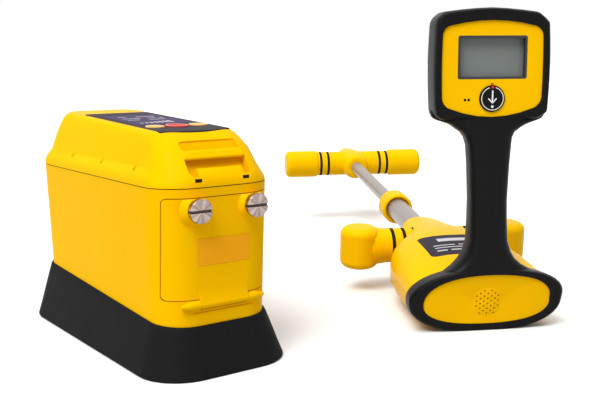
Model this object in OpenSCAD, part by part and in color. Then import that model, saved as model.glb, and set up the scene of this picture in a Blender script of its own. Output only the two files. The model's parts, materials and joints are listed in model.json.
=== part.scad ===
// Cable locator set: a battery transmitter in a booted case and a hand-held receiver with a telescopic wand.
// Millimetres, +Z up. The transmitter stands square to the axes with its battery door toward -Y.
// The receiver lies beside it, turned about Z, on its foot and the flat belly of its body.

/* [Transmitter case] */
// Case width at the parting line
tx_w = 114; // [112:1:130]
// Case length at the parting line
tx_l = 280; // [270:1:320]
// Plan corner radius at the parting line
tx_r = 34; // [26:1:40]
// Height of the parting line
tx_split_z = 158; // [156:1:180]
// Draft of the case walls, in degrees
tx_draft = 2; // [1:0.25:3]
// Case wall thickness
tx_wall = 3.5; // [2.5:0.25:5]
// Thickness of the rubber seal in the parting line
tx_seal_t = 0.8; // [0.6:0.1:1.5]

/* [Transmitter boot] */
// Height of the boot's top edge at the front
boot_h = 42; // [38:1:46]
// Extra height of the boot's top edge at the rear
boot_rise = 16; // [0:1:18]
// How far the boot stands out past the case at the floor
boot_flare = 16; // [10:0.5:20]
// Boot wall thickness at its top edge
boot_lip = 2; // [1.5:0.25:3]
// Boot floor thickness
boot_floor = 6; // [4:0.5:8]

/* [Transmitter lid] */
// Rise of the lid's top edge above the parting line at the front
lid_h = 43.5; // [42:0.5:52]
// Extra rise of the top at its rear edge
lid_rise = 9.5; // [0:0.5:14]
// Width of the flat top
lid_top_w = 76; // [74:1:84]
// How far the flat top's front edge is set back
lid_front = 36; // [34:1:42]
// How far the flat top's rear edge is set back
lid_rear = 31; // [26:1:40]
// Width of the grip recesses in the front slope
grip_w = 58; // [50:1:70]
// Depth of the lower grip pocket
grip_depth = 17; // [14:0.5:20]

/* [Control panel] */
// Panel width
panel_w = 68; // [62:1:70]
// Panel length
panel_l = 168; // [150:1:178]
// Distance of the keys from the flat top's front edge
key_y = 42; // [38:1:50]
// Distance of each side key from the middle
key_x = 21.5; // [21:0.25:23]
// Side key radius
key_r = 8.5; // [7:0.25:9]
// Power key radius
power_r = 10.8; // [9:0.2:11.4]
// Key travel
key_travel = 0.6; // [0.4:0.1:1]

/* [Battery door] */
// Door width
door_w = 100; // [94:1:102]
// Door bottom edge height
door_z0 = 65; // [64:0.5:68]
// Door top edge height
door_z1 = 150; // [149:0.5:152]
// Gap round the door
door_gap = 0.8; // [0.7:0.1:1]
// Corner radius of the door
door_corner = 3; // [2:0.5:6]
// Radius of the bosses under the door screws
door_boss_r = 11; // [10.5:0.25:12]
// Hinge pin height
hinge_z = 60; // [59:0.5:61]
// Hinge barrel radius
hinge_r = 4; // [3.5:0.25:4.5]
// Hinge pin radius
hinge_pin_r = 1.5; // [1.2:0.1:1.8]
// Length of the door's hinge barrel
door_knuckle = 46; // [36:1:50]
// Length of each case knuckle
case_knuckle = 8; // [6:0.5:10]
// Distance of each door screw from the middle
door_screw_x = 27; // [26:0.5:29]
// Door screw height
door_screw_z = 141; // [140.5:0.5:142]
// Door screw head radius
screw_head_r = 10.25; // [9:0.25:11.5]
// Door screw stud radius
screw_stud_r = 2.4; // [2:0.1:2.6]

/* [Batteries] */
// D cell radius
cell_r = 17.1; // [16.6:0.1:17.2]
// D cell length
cell_l = 61.5; // [60:0.5:61.5]

/* [Transmitter coil] */
// Distance of the coil behind the case's middle
coil_y = 84; // [76:1:90]
// Coil height
coil_z = 110; // [104:1:116]
// Length of the coil's core
core_l = 84; // [78:1:90]
// Coil core radius
core_r = 8; // [7:0.25:9]

/* [Receiver placing] */
// Receiver foot from the transmitter's middle, along X
rx_x = 260; // [220:1:320]
// Receiver foot from the transmitter's middle, along Y
rx_y = -195; // [-240:1:-140]
// Turn of the receiver about the vertical
rx_turn = 27.4; // [0:0.2:40]
// Upward tilt of the wand
wand_tilt = 5.5; // [5:0.25:6]

/* [Receiver grip and head] */
// Foot half width
foot_a = 77; // [75:0.5:82]
// Foot height
foot_h = 62; // [60:1:66]
// Handle half width at its waist
handle_a = 17.3; // [16:0.1:20]
// Head half width
head_a = 54; // [53:0.5:60]
// Head height
head_h = 102; // [100:1:108]
// Height of the head's lowest edge
head_z = 206; // [200:1:230]
// Display window width
lcd_w = 67; // [58:1:68]
// Display window height
lcd_h = 40; // [36:1:41]
// Push button radius
button_r = 12.2; // [11:0.2:12.6]
// Push button travel
button_travel = 1.5; // [1:0.1:1.8]

/* [Receiver body] */
// Body label width
label_w = 80; // [70:1:84]
// Body label length
label_l = 61; // [56:1:66]
// Distance of the body label from the foot's face
label_y = 82; // [78:1:85]
// Main board width
board_w = 60; // [50:1:64]
// Main board length
board_l = 80; // [70:1:86]

/* [Receiver wand] */
// Outer tube radius
tube_r = 13.5; // [13:0.25:14.5]
// Inner tube radius
inner_r = 8.75; // [8:0.25:9.25]
// Tube wall thickness
tube_wall = 1.8; // [1.5:0.1:2]
// Travel of the telescopic tube
wand_travel = 220; // [120:5:225]
// Lock collar radius
collar_r = 20; // [18.5:0.25:21]
// Distance of the cross bar along the wand
cross_y = 185; // [180:1:190]
// Cross bar arm radius
arm_r = 19.5; // [18:0.25:20.5]
// Distance of each barrel from the wand
barrel_x = 86.5; // [84:0.5:94]
// Barrel radius
barrel_r = 22; // [21.5:0.25:24]
// Barrel height
barrel_h = 47; // [46:1:52]
// Distance of the tee bar along the wand
tee_y = 647; // [640:1:700]
// Tee bar half length
tee_a = 110; // [106:0.5:124]
// Tee bar end cap radius
tee_cap_r = 21; // [20:0.25:22]
// Tee bar middle radius
tee_r = 19; // [18:0.25:19.5]

/* [Hidden] */
$fn = 64;
e = 0.01;
// Half length of the case, and the y of its front wall at the parting line
half_l = tx_l / 2;
// How far the drafted wall stands in at a height below the parting line
function tx_in(z) = (tx_split_z - z) * tan(tx_draft);
function front_y(z) = -(half_l - tx_in(z));
door_t = tx_wall;
frame_y = front_y(door_screw_z) + 14;
plate_y = frame_y + 4;
seal_t = 1.2;
boss_y = front_y(door_screw_z);
web_z = door_z0 + 9;
hinge_y = front_y(hinge_z) + 0.6;
lid_z0 = tx_split_z + tx_seal_t;
ledge_z = tx_split_z + 15;
top_zf = tx_split_z + lid_h;
top_zr = top_zf + lid_rise;
top_yf = -half_l + lid_front;
top_yr = half_l - lid_rear;
top_tilt = atan2(lid_rise, top_yr - top_yf);
// Front wall's flat half width between its rounded corners
flat_a = tx_w / 2 - tx_r;
rib_a = tx_w / 2 - 17.5;
contact_a = flat_a - 1;
lid_screw_x = tx_w / 2 - 5.5;
hinge_half = door_knuckle / 2 + 0.3 + case_knuckle;
// Taper past each case knuckle: length and loss of radius
taper_l = 9;
taper_r = 2.4;
// How the lid's wall stands in: rise above the parting line, then side, front and rear
lid_steps = [[3.5, 0, 0, 0], [7, 0.8, 0.7, 0.6], [10.5, 2.6, 2.4, 2], [15, 6.4, 6, 5]];
// How the top is rounded: depth under the flat top, then how far side, front and rear stand out
top_steps = [[6.3, 4.4, 9, 6], [3.2, 2.4, 3.5, 2.6], [1.4, 1, -0.7, 0.5], [0, -2, -6, -3]];
// Brow between the front slope and the top
brow_y = -half_l + 15.3;
brow_z = tx_split_z + 28;
brow_a = atan2(lid_h - 6.7 - 28, lid_front - 9 - 15.3);
// Where the panel's front edge lies on the flat top, and the radius of its bow
panel_y = 2;
panel_bow = 90;
slope_y = -half_l + 6;
slope_run = lid_front - 6 - 4;
slope_rise = lid_h - 15 - 4;
slope_a = atan2(slope_rise, slope_run);
lid_wall = 4;
board_z = tx_split_z + 31;
bay_z0 = door_z0 + 3.2;
cell_pitch = 2 * cell_r + 0.6;
cell_z = bay_z0 + cell_r + 0.4;
cell_y = frame_y - 1;
bay_w = 2 * cell_pitch + 0.8;
bay_h = 2 * cell_pitch + 0.8;
contact_y = cell_y + 2 * cell_l;
bay_y1 = contact_y + 2;
lid_screw_y = [-82, -15, 52];
axis_z = 31;
foot_d = 16;
// Bows of the head's outline and of the face plate's: top, bottom and sides
head_bow = [9, 2, 2];
face_bow = [7, 11, 0.8];
head_r = 9;
face_r = 7;
head_b = (head_h - head_bow[0]) / 2;
head_c = head_z + head_b;
face_c = head_c + 1;
face_a = head_a - 5;
face_b = head_b - 11;
face_y = 2;
ledge_y = 5.8;
lcd_z = head_z + 56;
button_z = head_z + 18;
// The foot and its cover: half heights above and below their widest line
foot_z = foot_h / 2 + 1;
foot_top = foot_h - foot_z;
foot_low = foot_z + 2;
cover_a = foot_a - 13.8;
cover_top = foot_top - 3.5;
cover_low = 22;
cover_z = axis_z - 2;
dome_r = 15.5;
dome_h = 2;
dome_ball = (dome_r * dome_r + dome_h * dome_h) / (2 * dome_h);
socket_y = 247;
cell_x = 32.5;
c_cell_r = 13.1;
collar_y = 346;
tube_end = 358;
bush_l = 20;
inner_y0 = tube_end - bush_l - 14;
band_w = 4;
arm_x0 = 26;
arm_bands = [37, 50];
cross_up = 1.2;
back_y = 31;
head_y1 = back_y + 4;
speaker_r = 16;
// Tee hub along the wand: radius and place of each step, from its socket to its rounded far end
hub_profile = [
    [0, -37], [12, -37], [15.5, -36], [18, -33], [19.6, -28], [20.5, -20], [20.8, -8], [20.8, 4],
    [20, 16], [18.6, 28], [17, 40], [15.4, 50], [13.8, 57], [11.5, 62], [8, 65.3], [4, 66.8], [0, 67]
];

// Which sub-part to draw, or all of them

// Ring of points round a rounded rectangle, its z falling on a slope from zf at yf to zr at yr
function ring(hw, yf, yr, r, zf, zr, n = 10) = [
    for (q = [0:3]) for (i = [0:n])
        let (
            a = 90 * (q + i / n),
            cx = (q == 0 || q == 3) ? hw - r : r - hw,
            cy = q < 2 ? yr - r : yf + r,
            y = cy + r * sin(a)
        )
        [cx + r * cos(a), y, zf + (zr - zf) * (y - yf) / (yr - yf)]
];
// Ring of the drafted case at a height, taken in by off
function case_ring(z, off) = ring(
    tx_w / 2 - tx_in(z) - off, -(half_l - tx_in(z) - off), half_l - tx_in(z) - off,
    tx_r - tx_in(z) - off, z, z
);
// Ring of an upright rounded oval at a depth y, its exponent n setting how square it is
function sign0(v) = v < 0 ? -1 : 1;
function oval(a, b, zc, y, n, m = 48) = [
    for (i = [0:m - 1])
        let (t = 360 * (i + 0.5) / m, c = cos(t), s = sin(t))
        [-a * sign0(c) * pow(abs(c), 2 / n), y, zc + b * sign0(s) * pow(abs(s), 2 / n)]
];
// Upright oval with its upper and lower halves of their own height and exponent
function arched(a, bt, bl, zc, y, nt, nl, m = 48) = [
    for (i = [0:m - 1])
        let (
            t = 360 * (i + 0.5) / m,
            c = cos(t),
            s = sin(t),
            n = s > 0 ? nt : nl,
            b = s > 0 ? bt : bl
        )
        [-a * sign0(c) * pow(abs(c), 2 / n), y, zc + b * sign0(s) * pow(abs(s), 2 / n)]
];
// Point on a corner of a rounded rectangle, at an angle t
function corner(q, a, b, r, t) = [
    ((q == 0 || q == 3) ? a - r : r - a) + r * cos(t),
    (q < 2 ? b - r : r - b) + r * sin(t)
];
// Upright rounded rectangle with bowed edges, the bows given for top, bottom and sides
function bowed(a, b, r, zc, y, bow, n = 5, k = 6) = [
    for (q = [0:3]) for (i = [0:n + k - 1])
        let (
            t = 90 * (q + 1),
            f = (i - n) / k,
            p = i <= n ? corner(q, a, b, r, 90 * (q + i / n))
                : corner(q, a, b, r, t) * (1 - f) + corner((q + 1) % 4, a, b, r, t) * f,
            u = 1 - pow(p[0] / a, 2),
            v = 1 - pow(p[1] / b, 2),
            rise = (p[1] > 0 ? bow[0] : -bow[1]) * u * abs(p[1]) / b
        )
        [-p[0] - sign0(p[0]) * bow[2] * v, y, zc + p[1] + rise]
];
// Outlines taken in by d: the head's, the face plate's and the back cover's
function head_ring(d, y) = bowed(head_a - head_bow[2] - d, head_b - d, head_r - d / 2, head_c, y, head_bow);
function inset_ring(d, y, bow) = bowed(
    face_a - face_bow[2] - d, face_b - d, max(1, face_r - d / 2), face_c, y, bow
);
function face_ring(d, y) = inset_ring(d, y, face_bow);
function back_ring(d, y) = inset_ring(d, y, [face_bow[0], head_bow[1], face_bow[2]]);
// Ring of a level rounded oval at a height z, round a middle at yc
function level_oval(a, b, yc, z, n, m = 40) = [
    for (i = [0:m - 1])
        let (t = 360 * (i + 0.5) / m, c = cos(t), s = sin(t))
        [a * sign0(c) * pow(abs(c), 2 / n), yc + b * sign0(s) * pow(abs(s), 2 / n), z]
];

// Solid skinned over a list of rings that have the same count of points
module skin(rings) {
    n = len(rings[0]);
    m = len(rings);
    points = [for (r = rings) for (p = r) p];
    sides = [for (j = [0:m - 2]) for (i = [0:n - 1]) for (k = [0, 1])
        let (i2 = (i + 1) % n, a = j * n + i, b = a + n, c = (j + 1) * n + i2, d = j * n + i2)
        k == 0 ? [a, b, c] : [a, c, d]];
    caps = [[for (i = [0:n - 1]) i], [for (i = [n - 1:-1:0]) (m - 1) * n + i]];
    polyhedron(points, concat(sides, caps), convexity = 6);
}
// Box given by its two corners
module box(lo, hi) {
    translate(lo) cube(hi - lo);
}
// Cylinder along +Y from y0 to y1
module rod_y(r, y0, y1) {
    translate([0, y0, 0]) rotate([-90, 0, 0]) cylinder(r = r, h = y1 - y0);
}
// Cylinder along +X from x0 to x1
module rod_x(r, x0, x1) {
    translate([x0, 0, 0]) rotate([0, 90, 0]) cylinder(r = r, h = x1 - x0);
}
// Tube along +Y
module tube_y(ro, ri, y0, y1) {
    difference() {
        rod_y(ro, y0, y1);
        rod_y(ri, y0 - 1, y1 + 1);
    }
}
// Tube along +X
module tube_x(ro, ri, x0, x1) {
    difference() {
        rod_x(ro, x0, x1);
        rod_x(ri, x0 - 1, x1 + 1);
    }
}
// The same thing on the left and on the right
module both_sides() {
    children();
    mirror([1, 0, 0]) children();
}
// Upright plate with rounded corners, w by h, in the XZ plane, from y0 to y1
module upright_plate(w, h, r, y0, y1) {
    translate([0, y1, 0]) rotate([90, 0, 0]) linear_extrude(y1 - y0) rounded(w, h, r);
}
module rounded(w, h, r) {
    square([w - 2 * r, h], center = true);
    square([w, h - 2 * r], center = true);
    for (x = [-1, 1]) for (y = [-1, 1]) translate([x * (w / 2 - r), y * (h / 2 - r)]) circle(r);
}

// Case solid between two heights, taken in by off
module case_solid(z0, z1, off) {
    skin([case_ring(z0, off), case_ring(z1, off)]);
}
// Lid solid taken in by off, cut level at the bottom, with n steps round each corner
module lid_solid(off, z0, n = 10) {
    side = tx_w / 2 - off;
    skin(concat(
        [ring(side, -half_l + off, half_l - off, tx_r - off, z0, z0, n)],
        [for (s = lid_steps)
            let (z = tx_split_z + s[0])
            ring(side - s[1], -half_l + s[2] + off, half_l - s[3] - off, tx_r - s[1] / 2 - off, z, z, n)],
        [ring(lid_top_w / 2 + 8.4 - off, brow_y + off, half_l - 15 - off, 26 - off,
            brow_z - off / 2, brow_z + lid_rise / 2 - off / 2, n)],
        [for (s = top_steps)
            let (yf = top_yf - s[2], yr = top_yr + s[3])
            ring(lid_top_w / 2 + s[1] - off, yf + off, yr - off, 18 + s[1] - off,
                top_at(yf) - s[0] - off, top_at(yr) - s[0] - off, n)]
    ));
}
// Height of the flat top at a y
function top_at(y) = top_zf + (y - top_yf) * lid_rise / (top_yr - top_yf);
// Frame on the lid's front slope: x across, y up the slope, z out of it
module on_slope() {
    translate([0, slope_y, ledge_z]) rotate([slope_a, 0, 0]) children();
}
// Frame on the brow above the slope
module on_brow() {
    translate([0, brow_y, brow_z]) rotate([brow_a, 0, 0]) children();
}
// Frame on the lid's flat top: y back from its front edge, z out of it
module on_top() {
    translate([0, top_yf, top_zf]) rotate([top_tilt, 0, 0]) children();
}
// Door outline as a prism, grown by gap
module door_prism(gap) {
    mid = (door_z0 + door_z1) / 2;
    translate([0, 0, mid])
        upright_plate(door_w + 2 * gap, door_z1 - door_z0 + 2 * gap, door_corner + gap,
            -half_l - 20, -half_l + 60);
}
// Where each door screw goes, seen along +Y
module at_screw(side) {
    translate([side * door_screw_x, 0, door_screw_z]) children();
}
module at_hinge() {
    translate([0, hinge_y, hinge_z]) children();
}
// One round key on the top, with its flange below the panel
module key(x, r) {
    on_top() translate([x, key_y, 0]) {
        translate([0, 0, -2.3]) cylinder(r = r, h = 3.6);
        translate([0, 0, -3.4]) cylinder(r = r + 0.5, h = 1.2);
    }
}
// Holes for the three keys
module key_holes(gap, z0, z1) {
    for (k = [[-key_x, key_r], [0, power_r], [key_x, key_r]])
        translate([k[0], key_y, z0]) cylinder(r = k[1] + gap, h = z1 - z0);
}
// Outline of the panel, its front edge bowed
module panel_outline(gap) {
    intersection() {
        translate([0, panel_y + panel_l / 2]) rounded(panel_w + 2 * gap, panel_l + 2 * gap, 6);
        translate([0, panel_y + panel_bow]) circle(panel_bow + gap, $fn = 128);
    }
}

module tx_base_boot() {
    z1 = boot_h + boot_rise / 2;
    w = tx_w / 2 - tx_in(z1) + boot_lip;
    l = half_l - tx_in(z1) + boot_lip;
    r = tx_r - tx_in(z1) + boot_lip;
    color("#1d1e20") difference() {
        skin([for (s = [[0, 1, -1.6], [0.04, 1, 0], [0.3, 0.72, 0], [0.6, 0.42, 0], [0.86, 0.15, 0],
            [0.96, 0.04, 0], [1, 0, -0.6]])
            let (g = s[1] * (boot_flare - boot_lip) + s[2])
            ring(w + g, -l - g, l + g, r + 0.6 * g, s[0] * boot_h, s[0] * (boot_h + boot_rise))]);
        case_solid(boot_floor, boot_h + boot_rise + 5, -0.15);
        at_base_screws() {
            translate([0, 0, -1]) cylinder(r = 2.1, h = boot_floor + 2);
            translate([0, 0, -1]) cylinder(r = 4.3, h = 4);
        }
    }
}
module at_base_screws() {
    for (x = [-1, 1]) for (y = [-1, 1]) translate([x * (tx_w / 2 - 24), y * (half_l - 42), 0]) children();
}
module tx_base_screws() {
    color("#8d9096") at_base_screws() {
        translate([0, 0, 0.6]) cylinder(r = 4, h = 2.4);
        translate([0, 0, 2.9]) cylinder(r = 1.95, h = 13);
    }
}
module tx_lower_housing() {
    floor_z = boot_floor + tx_wall;
    color("#f4b400") difference() {
        union() {
            difference() {
                case_solid(boot_floor, tx_split_z, 0);
                case_solid(floor_z, tx_split_z + 1, tx_wall);
            }
            // Door frame behind the front wall, one solid with it
            intersection() {
                case_solid(floor_z - e, tx_split_z, tx_wall - 0.1);
                box([-tx_w, -half_l, hinge_z - 7], [tx_w, plate_y, tx_split_z - e]);
            }
            // Bosses for the base screws
            at_base_screws() translate([0, 0, floor_z - 0.5]) cylinder(r = 5, h = 12);
            // Two cradles that carry the coil's core
            for (x = [-1, 1])
                box([x * (core_l / 2 - 8) - 4, coil_y - 10, floor_z - 0.5],
                    [x * (core_l / 2 - 8) + 4, coil_y + 10, coil_z - 4]);
            // Shelf under the battery holder
            box([-30, plate_y - 1, bay_z0 - 4.6], [30, plate_y + 60, bay_z0 - 1.6]);
            // Pillars the lid screws go into
            both_sides() for (y = lid_screw_y)
                translate([lid_screw_x, y, tx_split_z - 22]) cylinder(r = 4, h = 22);
            // Hinge knuckles at both ends of the door's barrel
            intersection() {
                at_hinge() union() {
                    both_sides() translate([door_knuckle / 2 + 0.3, 0, 0]) rotate([0, 90, 0])
                        rotate_extrude() polygon([
                            [0, 0], [hinge_r, 0], [hinge_r, case_knuckle],
                            [hinge_r - taper_r, case_knuckle + taper_l], [0, case_knuckle + taper_l]
                        ]);
                    both_sides() box([door_knuckle / 2 + 0.3, 0, 0.3 - hinge_r],
                        [hinge_half - 0.5, 5, hinge_r - 0.3]);
                }
                box([-tx_w, -half_l - 10, 0], [tx_w, 0, tx_split_z]);
            }
        }
        // Seat for the door, as deep as the door is thick
        difference() {
            door_prism(door_gap);
            case_solid(hinge_z - 6, tx_split_z + 1, door_t + 0.5);
        }
        // Room for the seal and the door's inner rib
        box([-rib_a - 1, -half_l - 5, door_z0 - door_gap], [rib_a + 1, frame_y, door_z1 - 1.5]);
        // Battery opening, with the insert bosses left standing in its top corners
        difference() {
            box([-bay_w / 2, -half_l, bay_z0], [bay_w / 2, plate_y + 1, bay_z0 + bay_h]);
            for (s = [-1, 1]) at_screw(s) rod_y(5, -half_l, plate_y + 1);
        }
        for (s = [-1, 1]) at_screw(s) rod_y(3.7, frame_y - 2, plate_y + 9);
        // Room for the door's barrel and for its web to swing
        at_hinge() {
            rod_x(hinge_r + 0.5, -door_knuckle / 2 - 0.3, door_knuckle / 2 + 0.3);
            box([-door_knuckle / 2 - 0.3, -20, -hinge_r - 0.5], [door_knuckle / 2 + 0.3, 0, hinge_r + 8]);
            box([-door_knuckle / 2 - 0.3, 0, 0], [door_knuckle / 2 + 0.3, hinge_r + 0.5, hinge_r + 8]);
            rod_x(hinge_pin_r + 0.03, -hinge_half, hinge_half);
        }
        // Groove below the hinge
        translate([0, front_y(hinge_z - 7) - 1, hinge_z - 6.4])
            box([-hinge_half, 0, -0.8], [hinge_half, 2.2, 0.8]);
        // Blind holes for the screws and the hole for the output socket
        at_base_screws() cylinder(r = 2, h = 17);
        both_sides() for (y = lid_screw_y)
            translate([lid_screw_x, y, tx_split_z - 16]) cylinder(r = 1.15, h = 20);
        translate([0, 0, 100]) rod_y(6.2, half_l - 20, half_l + 5);
        translate([0, coil_y, coil_z]) rod_x(core_r + 0.05, -core_l / 2 - 1, core_l / 2 + 1);
    }
}
module tx_case_seal() {
    color("#17181a") difference() {
        skin([for (z = [tx_split_z, lid_z0])
            ring(tx_w / 2 - 0.8, -half_l + 0.8, half_l - 0.8, tx_r - 0.8, z, z)]);
        skin([for (z = [tx_split_z - 1, lid_z0 + 1])
            ring(tx_w / 2 - 2.8, -half_l + 2.8, half_l - 2.8, tx_r - 2.8, z, z)]);
    }
}
module tx_upper_housing() {
    color("#f7ba08") difference() {
        union() {
            difference() {
                lid_solid(0, lid_z0);
                lid_solid(lid_wall, lid_z0 - 5, 6);
            }
            intersection() {
                lid_solid(0.5, lid_z0, 6);
                union() {
                    // Walls of the grip pocket
                    on_slope() box([-grip_w / 2 - 3, -30, -grip_depth - 3], [grip_w / 2 + 3, 40, 6]);
                    // Posts the circuit board hangs from
                    for (x = [-28, 28]) for (y = [-62, 82])
                        translate([x, y, board_z + 1.6]) cylinder(r = 3.5, h = 40);
                    // Pillars for the lid screws
                    both_sides() for (y = lid_screw_y)
                        translate([lid_screw_x, y, lid_z0]) cylinder(r = 4, h = 30);
                }
            }
        }
        // Lower pocket, with the undercut behind the bar where the fingers hook
        intersection() {
            on_slope() {
                translate([0, 4, -grip_depth]) linear_extrude(60) rounded(grip_w, 21.5, 5.5);
                translate([0, 9.5, -grip_depth]) linear_extrude(grip_depth - 7) rounded(grip_w, 32.5, 4);
            }
            box([-tx_w, -half_l - 20, lid_z0 + 3.5], [tx_w, 0, top_zr + 40]);
        }
        // Upper shallow recess
        on_brow() translate([0, 6.5, -2.6]) linear_extrude(20) rounded(grip_w - 3, 11.5, 3);
        // Slots in the front band
        lid_slots(0);
        // Seat of the panel and the well under the keys
        on_top() translate([0, 0, -2]) linear_extrude(10) panel_outline(0.2);
        on_top() translate([0, key_y, 0])
            box([-key_x - key_r - 2, -power_r - 2, -9], [key_x + key_r + 2, power_r + 2, 1]);
        // Holes for the lid screws
        both_sides() for (y = lid_screw_y) translate([lid_screw_x, y, 0]) {
            translate([0, 0, tx_split_z - 1]) cylinder(r = 1.3, h = 40);
            translate([0, 0, tx_split_z + 6]) cylinder(r = 1.9, h = 40);
        }
    }
}
// Two slots in the lid's front band, below the ends of the grip pocket
module lid_slots(gap) {
    both_sides() box([19.5 + gap, -half_l - 1 + gap * 40, tx_split_z + 4.8 + gap],
        [26 - gap, -half_l + 4, tx_split_z + 7.8 - gap]);
}
// Rubber plugs set a little back in the slots
module tx_lid_plugs() {
    color("#141516") lid_slots(0.05);
}
module tx_case_screws() {
    color("#77797d") both_sides() for (y = lid_screw_y) translate([lid_screw_x, y, 0]) {
        translate([0, 0, tx_split_z - 12]) cylinder(r = 1.1, h = 18.5);
        translate([0, 0, tx_split_z + 6]) difference() {
            cylinder(r = 1.75, h = 2);
            translate([0, 0, 1]) cylinder(r = 0.9, h = 3, $fn = 6);
        }
    }
}
module tx_control_panel() {
    color("#23242a") on_top() difference() {
        translate([0, 0, -2]) linear_extrude(2.4) panel_outline(0);
        key_holes(0.25, -5, 5);
        window_place() linear_extrude(2) rounded(56.4, 84.4, 3);
    }
}
module tx_display_window() {
    color("#4a3b63") on_top() window_place() linear_extrude(0.5) rounded(56, 84, 3);
}
// The display window's place behind the keys
module window_place() {
    translate([0, key_y + power_r + 6 + 42, 0.1]) children();
}
module tx_key_left() {
    color("#f09a10") key(-key_x, key_r);
}
module tx_key_power() {
    color("#c8242b") key(0, power_r);
}
module tx_key_right() {
    color("#f09a10") key(key_x, key_r);
}
module tx_circuit_board() {
    color("#1f6b3a") box([-34, -66, board_z], [34, 90, board_z + 1.6]);
}
module tx_battery_door() {
    color("#f4b400") difference() {
        union() {
            intersection() {
                difference() {
                    case_solid(door_z0 - 10, tx_split_z, 0);
                    case_solid(door_z0 - 11, tx_split_z + 1, door_t);
                }
                door_prism(0);
            }
            // Inner rib that presses on the seal
            intersection() {
                case_solid(door_z0 - 10, tx_split_z, 1);
                difference() {
                    box([-rib_a, -half_l, door_z0 + 0.3], [rib_a, frame_y - seal_t, door_z1 - 2.5]);
                    box([3 - rib_a, -half_l - 1, door_z0 + 3.3], [rib_a - 3, frame_y, door_z1 - 5.5]);
                }
            }
            // Bosses under the screw heads, carried through to the seal's plane
            intersection() {
                for (s = [-1, 1]) at_screw(s) {
                    rod_y(door_boss_r, boss_y - 7, boss_y + 3);
                    translate([0, boss_y - 2.6, 0]) rotate([-90, 0, 0])
                        cylinder(r1 = door_boss_r, r2 = door_boss_r + 3, h = 4);
                }
                door_prism(0);
            }
            for (s = [-1, 1]) at_screw(s) rod_y(5, boss_y, frame_y - seal_t - 0.4);
            // Hinge barrel and the web that carries it
            at_hinge() rod_x(hinge_r, -door_knuckle / 2, door_knuckle / 2);
            at_hinge() rotate([90, 0, 90]) linear_extrude(door_knuckle, center = true) polygon([
                [-hinge_r + 0.05, 0], [front_y(web_z) - hinge_y + 0.1, web_z - hinge_z],
                [0.5, web_z - hinge_z], [0.5, door_z0 - hinge_z + 0.4], [-0.2, 0]
            ]);
        }
        for (s = [-1, 1]) at_screw(s) rod_y(screw_stud_r + 0.06, -half_l - 20, half_l);
        at_hinge() rod_x(hinge_pin_r + 0.05, -hinge_half, hinge_half);
        // Seat of the label
        difference() {
            label_box(0.2);
            case_solid(door_z0, tx_split_z, 0.4);
        }
    }
}
module label_box(gap) {
    box([-24.5 - gap, -half_l - 5, 93 - gap], [26.5 + gap, -half_l + 20, 116 + gap]);
}
module tx_door_label() {
    color("#ee9a12") intersection() {
        difference() {
            case_solid(door_z0, tx_split_z, 0);
            case_solid(door_z0 - 1, tx_split_z + 1, 0.4);
        }
        label_box(0);
    }
}
module tx_hinge_pin() {
    l = hinge_half - 0.2;
    color("#b9bcc1") at_hinge() rod_x(hinge_pin_r, -l, l);
}
module door_screw(side) {
    y0 = front_y(door_screw_z) - 7;
    color("#c9ccd1") at_screw(side) difference() {
        union() {
            rod_y(screw_head_r, y0 - 4.4, y0);
            rod_y(screw_head_r - 0.8, y0 - 5, y0 - 4.3);
            rod_y(screw_stud_r, y0 - 1, frame_y + 2);
        }
        box([-20, y0 - 10, -1.1], [20, y0 - 2.6, 1.1]);
    }
}
module tx_door_screw_left() {
    door_screw(-1);
}
module tx_door_screw_right() {
    door_screw(1);
}
module tx_screw_inserts() {
    color("#c8a24a") for (s = [-1, 1]) at_screw(s) tube_y(3.7, screw_stud_r + 0.6, frame_y, plate_y + 3);
}
module tx_door_seal() {
    color("#2a2b2d") difference() {
        box([-rib_a, frame_y - seal_t, door_z0 + 0.3], [rib_a, frame_y, door_z1 - 2.5]);
        box([3 - rib_a, frame_y - 5, door_z0 + 3.3], [rib_a - 3, frame_y + 5, door_z1 - 5.5]);
    }
}
// Two folded spring strips on the door's inner face, each joining a pair of cells
module tx_door_contacts() {
    color("#b0b3b7") for (k = [0, 1]) {
        z0 = cell_z + k * cell_pitch - 5;
        y0 = front_y(z0) + door_t + 0.02;
        difference() {
            box([-contact_a, y0, z0], [contact_a, cell_y - 0.3, z0 + 10]);
            box([0.8 - contact_a, y0 + 0.8, z0 - 1], [contact_a - 0.8, cell_y - 1.1, z0 + 11]);
        }
    }
}
module tx_battery_holder() {
    z0 = bay_z0 - 1.6;
    color("#2b2c2f") difference() {
        box([-bay_w / 2 - 1.6, plate_y, z0], [bay_w / 2 + 1.6, bay_y1 + 2, bay_z0 + bay_h + 1.6]);
        box([-bay_w / 2, plate_y - 1, bay_z0], [bay_w / 2, bay_y1, bay_z0 + bay_h]);
        for (s = [-1, 1]) at_screw(s) rod_y(5.5, plate_y - 1, plate_y + 4);
    }
}
module tx_batteries() {
    color("#3a3d42") for (x = [-0.5, 0.5]) for (k = [0, 1]) for (j = [0, 1])
        translate([x * cell_pitch, cell_y + j * cell_l, cell_z + k * cell_pitch]) {
            rod_y(cell_r, 1.2, cell_l - 0.1);
            rod_y(5, 0, 1.3);
        }
}
module tx_battery_contacts() {
    color("#c3c6ca") for (k = [0, 1])
        box([-32, contact_y, cell_z + k * cell_pitch - 7],
            [32, bay_y1, cell_z + k * cell_pitch + 7]);
}
module tx_coil_core() {
    color("#3b3b3d") translate([0, coil_y, coil_z]) rod_x(core_r, -core_l / 2, core_l / 2);
}
module tx_induction_coil() {
    color("#b4632a") translate([0, coil_y, coil_z])
        tube_x(core_r + 4, core_r, 16 - core_l / 2, core_l / 2 - 16);
}
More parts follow.
